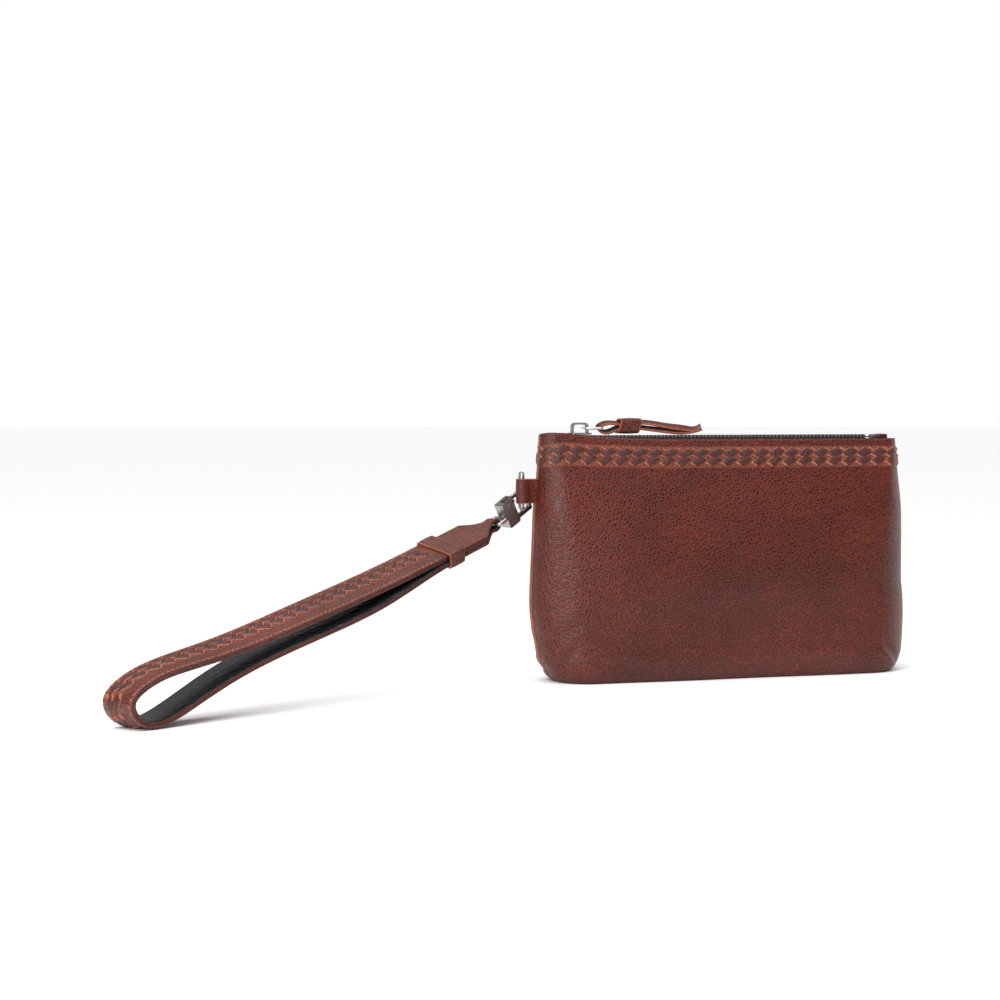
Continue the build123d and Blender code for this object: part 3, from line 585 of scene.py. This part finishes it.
# ---- linings, pocket and base board --------------------------------------------------------------
# Inside, a thin woven lining hangs from the zip tapes in two halves, with an open slip pocket sewn
# on the back half; a fibre board under it stiffens the base. The closed zip hides all of it.
def woven(name, colour, pitch, roughness):
    """Plain woven cloth: fine ribs both ways."""
    made, tree, shader = material(name, colour, roughness)
    place = node(tree, "TexCoord").outputs["Object"]
    warp = node(tree, "TexWave", {"Vector": place, "Scale": pitch, "Distortion": 0.6}, bands_direction="X")
    weft = node(tree, "TexWave", {"Vector": place, "Scale": pitch, "Distortion": 0.6}, bands_direction="Z")
    both = node(tree, "Math", {0: warp.outputs["Fac"], 1: weft.outputs["Fac"]}, operation="ADD")
    bump(tree, shader, both.outputs[0], 0.4, 0.00012)
    return made


LINING_CLOTH = woven("lining_cloth", (0.030, 0.027, 0.027), 700.0, 0.85)
LINING_IN = -1.75


def lining(name, side, low, high, inset, reach, nodes):
    """A sheet of lining inside one wall, between two heights and as far as reach round the pouch."""
    share, z = np.meshgrid(np.linspace(0.5 - reach, 0.5 + reach, 90), np.linspace(high, low, 40))
    soft = 0.25 * waves(share * 230, z, 9.0, 21) - 0.25
    rows = wall(share, z, inset + soft, side)
    faces = grid_faces(*share.shape)
    if side < 0:
        rows = rows[:, ::-1]
    piece(name, rows, faces, LINING_CLOTH, "lining_cloth", "pouch", nodes, thick=0.4, outward=False)


lining("front_lining_cloth", -1, 5.0, 122.0, LINING_IN, 0.494, ["front_lining"])
lining("back_lining_cloth", 1, 5.0, 122.0, LINING_IN, 0.494, ["back_lining"])
lining("slip_pocket_cloth", 1, 33.5, 95.5, LINING_IN - 1.4, 0.255, ["slip_pocket"])

BOARD = material("fibre_board", (0.045, 0.020, 0.014), 0.8)[0]


def finish_cad(name, finish, soften=0.0, smooth_by=None):
    """Gives a packed metal or board piece its finish, and a fine worn edge."""
    obj = frame["nodes"][name]
    obj.data.materials.clear()
    obj.data.materials.append(finish)
    if soften:
        edge = obj.modifiers.new("worn_edge", "BEVEL")
        edge.width = soften * MM
        edge.segments = 2
        edge.limit_method = "ANGLE"
        edge.angle_limit = radians(40)
        edge.harden_normals = False


finish_cad("base_board", BOARD)

# ---- zip tapes, teeth, stops and ends ------------------------------------------------------------
# Two woven tapes sewn under the leather's top edge carry a row of dark metal teeth each, crimped
# on at a fixed pitch. Stops are pinched on at both ends, and a folded leather end closes each off.
TAPE_CLOTH = woven("zip_tape", (0.016, 0.012, 0.011), 1100.0, 0.8)
TEETH_Z = 129.0
for side, name in ((-1, "front"), (1, "back")):
    x = np.linspace(-91.0, 94.5, 120)
    profile = [(2.95, 0.22), (3.3, 0.30), (4.0, 0.22), (4.9, 0.05), (4.9, -0.35), (2.95, -0.22)]
    rows = np.array(
        [[(at, side * y, TEETH_Z + z + 0.05 * sin(at * 0.9 + side)) for y, z in profile] for at in x]
    )
    piece(
        "zip_tape_" + name + "_cloth", rows.reshape(-1, 3), swept(rows), TAPE_CLOTH, "zip_tape",
        "pouch", ["zip_tape_" + name],
    )


def metal(name, colour, roughness, grain):
    """Plated metal, a little unevenly worn."""
    made, tree, shader = material(name, colour, roughness, 1.0)
    place = node(tree, "TexCoord").outputs["Object"]
    worn = node(tree, "TexNoise", {"Vector": place, "Scale": 260.0, "Detail": 4.0})
    gloss = node(
        tree, "MapRange",
        {"Value": worn.outputs["Fac"], "From Min": 0.3, "From Max": 0.7, "To Min": roughness - 0.03,
         "To Max": roughness + 0.05},
    )
    tree.links.new(gloss.outputs["Result"], shader.inputs["Roughness"])
    fine = node(tree, "TexNoise", {"Vector": place, "Scale": 2600.0, "Detail": 2.0})
    bump(tree, shader, fine.outputs["Fac"], grain, 0.00003)
    return made


GUNMETAL = metal("gunmetal", (0.34, 0.315, 0.30), 0.33, 0.12)
BRIGHT = metal("bright_nickel", (0.72, 0.72, 0.72), 0.16, 0.1)
for name in ("zip_teeth_front", "zip_teeth_back", "zip_top_stops", "zip_bottom_stop"):
    finish_cad(name, GUNMETAL, 0.22)


def rounded_block(low, high, round_by, bulge=0.0):
    """A soft block between two corners: points and faces."""
    low, high = np.array(low), np.array(high)
    middle, half = (low + high) / 2, (high - low) / 2
    work = bmesh.new()
    bmesh.ops.create_cube(work, size=2.0)
    bmesh.ops.subdivide_edges(work, edges=work.edges[:], cuts=7, use_grid_fill=True)
    points = np.array([v.co[:] for v in work.verts])
    faces = [[v.index for v in f.verts] for f in work.faces]
    work.free()
    flat = points * half
    inner = np.clip(flat, -(half - round_by), half - round_by)
    away = flat - inner
    size = np.linalg.norm(away, axis=1, keepdims=True)
    flat = inner + away / np.maximum(size, 1e-9) * np.minimum(size, round_by)
    swell = 1 + bulge * (1 - (points[:, :1] ** 2)) * (1 - points[:, 1:2] ** 2)
    flat[:, 2:] *= swell
    return flat + middle, faces


for side, x0, x1 in (("left", -96.1, -89.7), ("right", 93.2, 99.6)):
    points, faces = rounded_block((x0, -2.85, TEETH_Z - 1.45), (x1, 2.85, TEETH_Z + 1.45), 0.8, 0.1)
    piece(
        "zip_end_" + side + "_leather", points, faces, LEATHER, "leather", "pouch",
        ["zip_end_tab_" + side],
    )

# ---- slider, crown and pull ring -----------------------------------------------------------------
# Die-cast slider in dark gunmetal with a tall arch on its top plate, which holds a bright wire ring.
# The castings are tumbled, so their edges are a little round.
for name in ("slider_body", "slider_crown"):
    finish_cad(name, GUNMETAL, 0.18)
finish_cad("pull_ring", BRIGHT)


# ---- leather pull --------------------------------------------------------------------------------
# A narrow strip of the pouch's leather looped through the ring, its two tails held together by a
# wound band of the same leather. The flesh side is suede, made almost black as painted shade under
# the strip, and the cut ends curl up a little.
def spline(points, count, start=None, end=None):
    """A smooth curve through points, evenly spaced; start and end may give its directions."""
    points = np.asarray(points, float)
    chord = np.concatenate([[0], np.cumsum(np.linalg.norm(np.diff(points, axis=0), axis=1))])
    n, h = len(points), np.diff(chord)
    matrix, right = np.zeros((n, n)), np.zeros_like(points)
    for k in range(1, n - 1):
        matrix[k, k - 1 : k + 2] = h[k], 2 * (h[k] + h[k - 1]), h[k - 1]
        right[k] = 3 * (
            h[k] * (points[k] - points[k - 1]) / h[k - 1] + h[k - 1] * (points[k + 1] - points[k]) / h[k]
        )
    for k, way, step, gap in ((0, start, 1, h[0]), (n - 1, end, -1, h[-1])):
        matrix[k, k] = 1
        if way is not None:
            right[k] = way
        else:
            matrix[k, k + step] = 0.5
            right[k] = 1.5 * (points[k + step] - points[k]) * step / gap
    slope = np.linalg.solve(matrix, right)

    def at(s):
        k = np.clip(np.searchsorted(chord, s, side="right") - 1, 0, n - 2)
        t = ((s - chord[k]) / h[k])[:, None]
        g = h[k][:, None]
        rise = t * t * (3 - 2 * t)
        return (
            points[k] * (1 - rise) + points[k + 1] * rise
            + g * (t * (1 - t) ** 2 * slope[k] - t * t * (1 - t) * slope[k + 1])
        )

    fine = at(np.linspace(0, chord[-1], 1200))
    run = np.concatenate([[0], np.cumsum(np.linalg.norm(np.diff(fine, axis=0), axis=1))])
    even = np.linspace(0, run[-1], count)
    return np.stack([np.interp(even, run, fine[:, k]) for k in range(fine.shape[1])], -1)


ROUND_EDGE = ((0.45, 1.0), (0.16, 0.93), (0.0, 0.72), (0.0, 0.28), (0.16, 0.07), (0.45, 0.0))


def ribbon(path, sideways, half, low, high, edge=ROUND_EDGE, relief=None, closed=False, top=9):
    """A flat strip along a path. low and high are offsets along sideways x travel; half may vary.

    edge lists (in from the side, share of the thickness) from the top face round to the bottom."""
    path = np.asarray(path, float)
    count = len(path)
    if closed:
        travel = np.roll(path, -1, axis=0) - np.roll(path, 1, axis=0)
    else:
        travel = np.gradient(path, axis=0)
    travel /= np.linalg.norm(travel, axis=1, keepdims=True)
    sideways = np.broadcast_to(np.asarray(sideways, float), path.shape)
    normal = np.cross(sideways, travel)
    half = np.broadcast_to(np.asarray(half, float), (count,))
    low = np.broadcast_to(np.asarray(low, float), (count,))
    thickness = high - low
    share = np.linspace(-1, 1, top)
    columns = []
    for a in share:
        rise = 0.0 if relief is None else relief(a, np.arange(count) / (count - 1))
        columns.append((a * (half - edge[0][0]), low + thickness + rise))
    for inward, level in edge[1:]:
        columns.append((half - inward, low + thickness * level))
    for inward, level in reversed(edge[1:]):
        columns.append((inward - half, low + thickness * level))
    lines = []
    for out, rise in columns:
        out, rise = np.reshape(out, (-1, 1)), np.reshape(rise + 0 * half, (-1, 1))
        lines.append(path + sideways * out + normal * rise)
    rows = np.stack(lines, axis=1)
    width = rows.shape[1]
    bottom = top + len(edge) - 2
    if closed:
        faces = grid_faces(count + 1, width, True)
        faces = [[k % (count * width) for k in face] for face in faces]
    else:
        faces = swept(rows)
    kinds = [2 if k % width == bottom else (0 if k % width < top - 1 else 1) for k in range(len(faces))]
    for k in range(1, len(edge) - 1):
        if edge[k][0] > max(edge[k - 1][0], edge[k + 1][0]) + 0.1:
            for dark in (top + k - 2, top + k - 1, width - k - 1, width - k):
                kinds[dark :: width] = [3] * len(kinds[dark :: width])
    return rows.reshape(-1, 3), faces, kinds


# Suede for the flesh side of the strips, made almost black: a painted shade on their undersides.
SUEDE_AND_PAINTED_SHADE = leather_material(
    "dark_suede_and_painted_shade", (0.018, 0.011, 0.010), (0.030, 0.018, 0.015), (0.045, 0.028, 0.024), 1500.0, 0.7, 0.9
)
PULL_HALF = 2.5
pull_line = [
    (-11.6, 135.6), (-13.8, 133.7), (-19.0, 133.6), (-30.0, 135.0), (-47.0, 137.2), (-60.0, 136.6),
    (-69.0, 135.7), (-70.8, 133.9), (-69.0, 132.4), (-60.0, 133.9), (-47.0, 134.4),
    (-31.0, 132.6), (-18.0, 132.3), (-11.0, 133.3),
]
pull_path = spline([(x, 0.0, z) for x, z in pull_line], 110)
turned = np.linspace(0, 1, 110)
pull_tilt = radians(34) * np.interp(turned, [0, 0.30, 0.46, 0.62, 0.9, 1], [1.1, 0.6, 0.55, 0.6, 0.9, 0.5])
pull_side = np.stack([0 * turned, np.cos(pull_tilt), np.sin(pull_tilt)], -1)
pull_half = PULL_HALF * np.interp(turned, [0, 0.03, 0.10, 0.9, 0.97, 1], [0.45, 0.85, 1.04, 1.04, 0.85, 0.45])
points, faces, kinds = ribbon(pull_path, pull_side, pull_half, -0.62, 0.62)
piece(
    "pull_leather", points, faces, [LEATHER, TAN, SUEDE_AND_PAINTED_SHADE], "leather", "pull", ["pull_strip"],
    index=kinds,
)

wrap_turn = np.linspace(0, 2 * pi, 49)[:-1]
squarish = 1 / (np.abs(np.cos(wrap_turn)) ** 4 + np.abs(np.sin(wrap_turn)) ** 4) ** 0.25
WRAP_X, WRAP_Z, WRAP_ACROSS, WRAP_UP, WRAP_SLANT = -53.5, 135.2, 3.55, 3.45, 0.9
wrap_x = WRAP_X + WRAP_SLANT * np.sin(wrap_turn)
wrap_y = WRAP_ACROSS * squarish * np.cos(wrap_turn)
wrap_z = WRAP_Z + WRAP_UP * squarish * np.sin(wrap_turn)
wrap_loop = np.stack([wrap_x, wrap_y, wrap_z], -1)
points, faces, kinds = ribbon(
    wrap_loop, (-1.0, 0.0, 0.0), 6.0, -0.55, 0.60, closed=True,
    relief=lambda a, s: 0.12 * np.cos(a * 2.2) - 0.22 * np.exp(-((a - 0.15) / 0.05) ** 2),
)
piece(
    "pull_band_leather", points, faces, [LEATHER, TAN, SUEDE_AND_PAINTED_SHADE], "leather", "pull", ["pull_wrap"],
    index=kinds,
)

# ---- side tab ------------------------------------------------------------------------------------
# A strip of the pouch's leather, folded round the ring's straight bar. Its two ends are glued
# together and sewn into the left side seam, with a pressed line along each edge.
TAB_Z, BAR_X, SEAM_X = 101.0, -113.114, -104.81
tab_half = [(SEAM_X + 0.7, 0.86), (BAR_X + 5.4, 0.90), (BAR_X + 3.2, 1.35), (BAR_X + 1.2, 2.15)]
tab_line = [*tab_half, (BAR_X - 1.3, 2.0), (BAR_X - 2.38, 0.0), (BAR_X - 1.3, -2.0)]
tab_line += [(x, -y) for x, y in reversed(tab_half)]
tab_path = spline([(x, y, TAB_Z) for x, y in tab_line], 70)
points, faces, kinds = ribbon(
    tab_path, (0.0, 0.0, -1.0), 6.5, -0.78, 0.78,
    relief=lambda a, s: -0.16 * np.exp(-((abs(a) - 0.80) / 0.05) ** 2) + 0.10 * (1 - a * a), top=17,
)
piece(
    "side_tab_leather", points, faces, [LEATHER, TAN, SUEDE_AND_PAINTED_SHADE], "leather", "pouch", ["side_tab"],
    index=kinds,
)

# ---- D-ring, snap hook and swivel ----------------------------------------------------------------
# Cast and wire fittings in dark gunmetal: the ring, the hook with its riveted, sprung gate, and the
# loop on its turning pin.
for name, soften in (
    ("d_ring", 0), ("hook_frame", 0.3), ("hook_gate", 0.15), ("gate_rivet", 0.12), ("gate_spring", 0),
    ("swivel_loop", 0), ("swivel_pin", 0), ("strap_stud", 0.3),
):
    finish_cad(name, GUNMETAL, soften)

# ---- wrist strap: leather, lining and lacing -----------------------------------------------------
# Leather outside and glossy black leather inside, glued and stitched together with burnished edges
# and folded into a loop. The same braided lace as on the pouch runs along it, off to the far side.
STRAP_YAW, STRAP_DROP = radians(207.0), radians(18.5)
STRAP_ROLL = radians(14.0)
STRAP_FROM = np.array(frame["record"]["behaviour"]["joints"][-1]["pos_m"]) / MM
STRAP_WAY = np.array([cos(STRAP_YAW), sin(STRAP_YAW), 0.0])
SKY = np.array([0.0, 0.0, 1.0])
FAR_SIDE = np.cross(STRAP_WAY, SKY)
TIP_END, STRAP_LENGTH, LAYER, OPENING, STRAP_HALF = 40.0, 238.0, 3.0, 22.0, 10.5

start_u = (TIP_END + 0.1) * cos(STRAP_DROP)
start_v = STRAP_FROM[2] - (TIP_END + 0.1) * sin(STRAP_DROP)
reach_u = STRAP_LENGTH - LAYER / 2
low_v = LAYER / 2 + 0.85
top_v = low_v + OPENING - LAYER
off = LAYER / 2 + 0.1
lean, lift = off * sin(STRAP_DROP), off * cos(STRAP_DROP)
strap_line = [
    (0.23, start_v * 0.82), (0.48, start_v * 0.625), (0.73, start_v * 0.45), (0.87, top_v + 0.24 * OPENING),
    (0.955, top_v - 0.02 * OPENING), (1.0, low_v + 0.44 * OPENING), (0.972, low_v + 0.07 * OPENING),
    (0.93, low_v), (0.85, low_v + 0.22 * OPENING), (0.73, start_v * 0.255), (0.50, start_v * 0.475),
    (0.23, start_v * 0.71),
]
strap_line = [(start_u + (reach_u - start_u) * share, v) for share, v in strap_line]
strap_line = [(start_u + lean, start_v + lift), *strap_line, (start_u - lean, start_v - lift)]
STRAP_STEPS = 300
level_path = spline(
    strap_line, STRAP_STEPS, (cos(STRAP_DROP), -sin(STRAP_DROP)), (-cos(STRAP_DROP), sin(STRAP_DROP))
)
strap_base = np.array([STRAP_FROM[0], STRAP_FROM[1], 0.0])
strap_path = strap_base + level_path[:, :1] * STRAP_WAY + level_path[:, 1:] * SKY
strap_travel = np.gradient(strap_path, axis=0)
strap_travel /= np.linalg.norm(strap_travel, axis=1, keepdims=True)

# The strap is rolled a little towards the front, except where its end lies on the table.
along = np.linspace(0, 1, STRAP_STEPS)
roll_places, roll_shares = [0, 0.2, 0.38, 0.46, 0.60, 0.72, 0.9, 1], [1, 1, 0.7, 0.25, 0, -0.45, -0.95, -1]
roll = STRAP_ROLL * np.interp(along, roll_places, roll_shares)
roll = np.convolve(np.pad(roll, 12, "edge"), np.ones(25) / 25, "valid")
flat_up = np.cross(FAR_SIDE, strap_travel)
strap_side = FAR_SIDE * np.cos(roll)[:, None] + flat_up * np.sin(roll)[:, None]

GROOVED = (
    (0.7, 1.0), (0.30, 0.96), (0.06, 0.84), (0.0, 0.66), (0.02, 0.50), (0.48, 0.42), (0.02, 0.34),
    (0.0, 0.16), (0.12, 0.02), (0.3, 0.0),
)
# The sewn groove near each edge, as a share of half the strap's width.
GROOVE_AT = 0.88
LINING_EDGE = ((0.4, 1.0), (0.10, 0.90), (0.02, 0.70), (0.0, 0.40), (0.05, 0.15), (0.3, 0.0))
points, faces, kinds = ribbon(
    strap_path, strap_side, STRAP_HALF, -0.2, 1.5, edge=GROOVED, top=15,
    relief=lambda a, s: 0.12 * (1 - a**2) - 0.14 * np.exp(-((abs(a) - GROOVE_AT) / 0.04) ** 2),
)
STRAP_LEATHER = leather_material(
    "strap_leather", (0.052, 0.0115, 0.0085), (0.090, 0.0190, 0.0115), (0.165, 0.038, 0.018), 640.0, 0.7, 0.36
)
piece(
    "strap_outer_leather", points, faces, [STRAP_LEATHER, STRAP_LEATHER, TAN, DARK_LACE], "leather", "strap",
    ["strap_leather"], index=kinds,
)
BLACK = leather_material(
    "black_lining", (0.006, 0.006, 0.007), (0.010, 0.010, 0.011), (0.016, 0.016, 0.017), 260.0, 0.8, 0.26
)
LINING_TOP = 9
points, faces, kinds = ribbon(
    strap_path, strap_side, STRAP_HALF - 0.12, -1.5, -0.25, edge=LINING_EDGE, top=LINING_TOP
)
# The lower half of its edge is black as well, on both sides of its underside.
underside = LINING_TOP + len(LINING_EDGE) - 2
columns_round = LINING_TOP + 2 * (len(LINING_EDGE) - 1)
for column in (underside - 2, underside - 1, underside + 1, underside + 2):
    kinds[column::columns_round] = [2] * len(kinds[column::columns_round])
piece(
    "strap_inner_leather", points, faces, [BLACK, STRAP_LEATHER, BLACK, DARK_LACE], "strap_lining_black",
    "strap", ["strap_lining"], index=kinds,
)

strap_run = np.concatenate([[0], np.cumsum(np.linalg.norm(np.diff(strap_path, axis=0), axis=1))])
LACE_OFF, STRAP_LACE_WIDTH, STRAP_LACE_PITCH = 2.5, 12.5, 8.2
STITCH_OUT, STITCH_PITCH = GROOVE_AT * STRAP_HALF, 2.9
lace_start, lace_end = 0.02 * strap_run[-1], 0.98 * strap_run[-1]
lace_long = lace_end - lace_start
# The braid's pale dashes at the slits are painted highlights here too.
laces = braid(lace_long, STRAP_LACE_PITCH, STRAP_LACE_WIDTH, 0.04, 0.95)
rows, faces, index = on_strip(lace_long, STRAP_LACE_WIDTH, (7, 330), 0.02, 0.10, laces)
for off_middle in (-STITCH_OUT, STITCH_OUT):
    thread, shape, edge = lozenge((0, off_middle - LACE_OFF), (0.95, 0.10), (0.04, 0.40), -0.3, 0.2, 0.15)
    tiles = [(thread, shape, [True] * len(edge), 0.0)]
    thread, thread_faces, thread_index = repeated(tiles, STITCH_PITCH, lace_long, STITCH_PITCH)
    faces += [[k + len(rows) for k in face] for face in thread_faces]
    index += thread_index
    rows = np.concatenate([rows, thread])
place = lace_start + rows[:, 0]


def along_strap(values):
    """Values given at the strap's steps, at each of the lacing's points."""
    return np.stack([np.interp(place, strap_run, values[:, k]) for k in range(3)], -1)


lace_side = along_strap(strap_side)
lace_up = np.cross(lace_side, along_strap(strap_travel))
points = along_strap(strap_path) + lace_side * (rows[:, 1:2] + LACE_OFF) + lace_up * (rows[:, 2:] + 1.56)
piece(
    "strap_braid", points, faces, [BETWEEN_LACES, DARK_LACE, PALE_LACE_AND_PAINTED_HIGHLIGHT], "dark_lacing", "strap",
    ["strap_lacing"], index=index, outward=False,
)

# ---- strap tip and keeper ------------------------------------------------------------------------
# The tapered end is one piece of leather folded round the swivel's loop over a stiff core, with a
# pressed border line; a wide leather keeper holds it and both ends of the strap together.
TIP_WAY = STRAP_WAY * cos(STRAP_DROP) - SKY * sin(STRAP_DROP)
TIP_UP = STRAP_WAY * sin(STRAP_DROP) + SKY * cos(STRAP_DROP)
tip_half = 1.65
half_line = [(TIP_END * s, tip_half) for s in (1, 0.8, 0.6, 0.45, 0.32, 0.25)]
eye_line = [*half_line, (3.6, 2.3), (0, 2.45), (-2.45, 0)]
tip_line = [*eye_line, (0, -2.45), (3.6, -2.3), *[(x, -y) for x, y in reversed(half_line)]]
tip_flat = spline(tip_line, 150)
tip_path = STRAP_FROM + tip_flat[:, :1] * TIP_WAY + tip_flat[:, 1:] * TIP_UP
TAPER_OUT, TAPER_HALF = [4.2, 6.0, 15.5, 17.0], [3.1, 4.4, 10.4, STRAP_HALF]
TIP_ROLL_OUT, TIP_ROLL_SHARE = np.array([-3.0, 2.0, 16.0, 41.0]), np.array([0.0, 0.0, 1.0, 1.0])


def tip_shape(out):
    """Half the tip's width and its sideways direction, at distances out from the swivel's loop."""
    wide = np.interp(out, TAPER_OUT, TAPER_HALF)
    rolled = STRAP_ROLL * smooth(out, TIP_ROLL_OUT, TIP_ROLL_SHARE)
    return wide, FAR_SIDE * np.cos(rolled)[:, None] + TIP_UP * np.sin(rolled)[:, None]


tip_wide, tip_side = tip_shape(tip_flat[:, 0])
points, faces, kinds = ribbon(
    tip_path[::-1], tip_side[::-1], tip_wide[::-1], -0.82, 0.82, edge=GROOVED, top=21,
    relief=lambda a, s: 0.10 * (1 - a**2) - 0.22 * np.exp(-((abs(a) - 0.80) / 0.035) ** 2),
)
piece(
    "strap_tip_leather", points, faces, [STRAP_LEATHER, STRAP_LEATHER, SUEDE_AND_PAINTED_SHADE, DARK_LACE], "leather", "strap",
    ["strap_tip"], index=kinds,
)

core_out = np.linspace(12.0, TIP_END - 0.4, 60)
core_wide, core_side = tip_shape(core_out)
core_path = STRAP_FROM + core_out[:, None] * TIP_WAY
points, faces, kinds = ribbon(core_path, core_side, core_wide - 0.25, -0.72, 0.72)
piece("strap_tip_filler", points, faces, BOARD, "board", "strap", ["strap_tip_core"])

KEEPER_ACROSS, KEEPER_UP, KEEPER_BEND, KEEPER_TOP = 10.1, 2.6, 1.5, 1.15
corners = [(KEEPER_ACROSS, KEEPER_UP), (-KEEPER_ACROSS, KEEPER_UP)]
corners += [(-KEEPER_ACROSS, -KEEPER_UP), (KEEPER_ACROSS, -KEEPER_UP)]
loop_turn = []
for k, (cy, cz) in enumerate(corners):
    for a in k * pi / 2 + np.linspace(0, pi / 2, 7):
        loop_turn.append((cy + KEEPER_BEND * cos(a), cz + KEEPER_TOP * sin(a)))
    if k in (0, 2):
        for s in np.linspace(0, 1, 10)[1:-1]:
            loop_turn.append((cy + (corners[k + 1][0] - cy) * s, cz + (1 - k) * KEEPER_TOP))
loop_turn = np.array(loop_turn)
keeper_side = FAR_SIDE * cos(STRAP_ROLL) + TIP_UP * sin(STRAP_ROLL)
keeper_up = TIP_UP * cos(STRAP_ROLL) - FAR_SIDE * sin(STRAP_ROLL)
keeper_path = STRAP_FROM + TIP_END * TIP_WAY + loop_turn[:, :1] * keeper_side + loop_turn[:, 1:] * keeper_up
points, faces, kinds = ribbon(
    keeper_path, TIP_WAY, 5.2, -0.65, 0.65, closed=True, top=25,
    relief=lambda a, s: 0.15 * (1 - a**2) - 0.28 * np.exp(-((abs(a) - 0.70) / 0.05) ** 2),
)
piece(
    "strap_keeper_leather", points, faces, [STRAP_LEATHER, TAN, SUEDE_AND_PAINTED_SHADE], "leather", "strap",
    ["strap_keeper"], index=kinds,
)
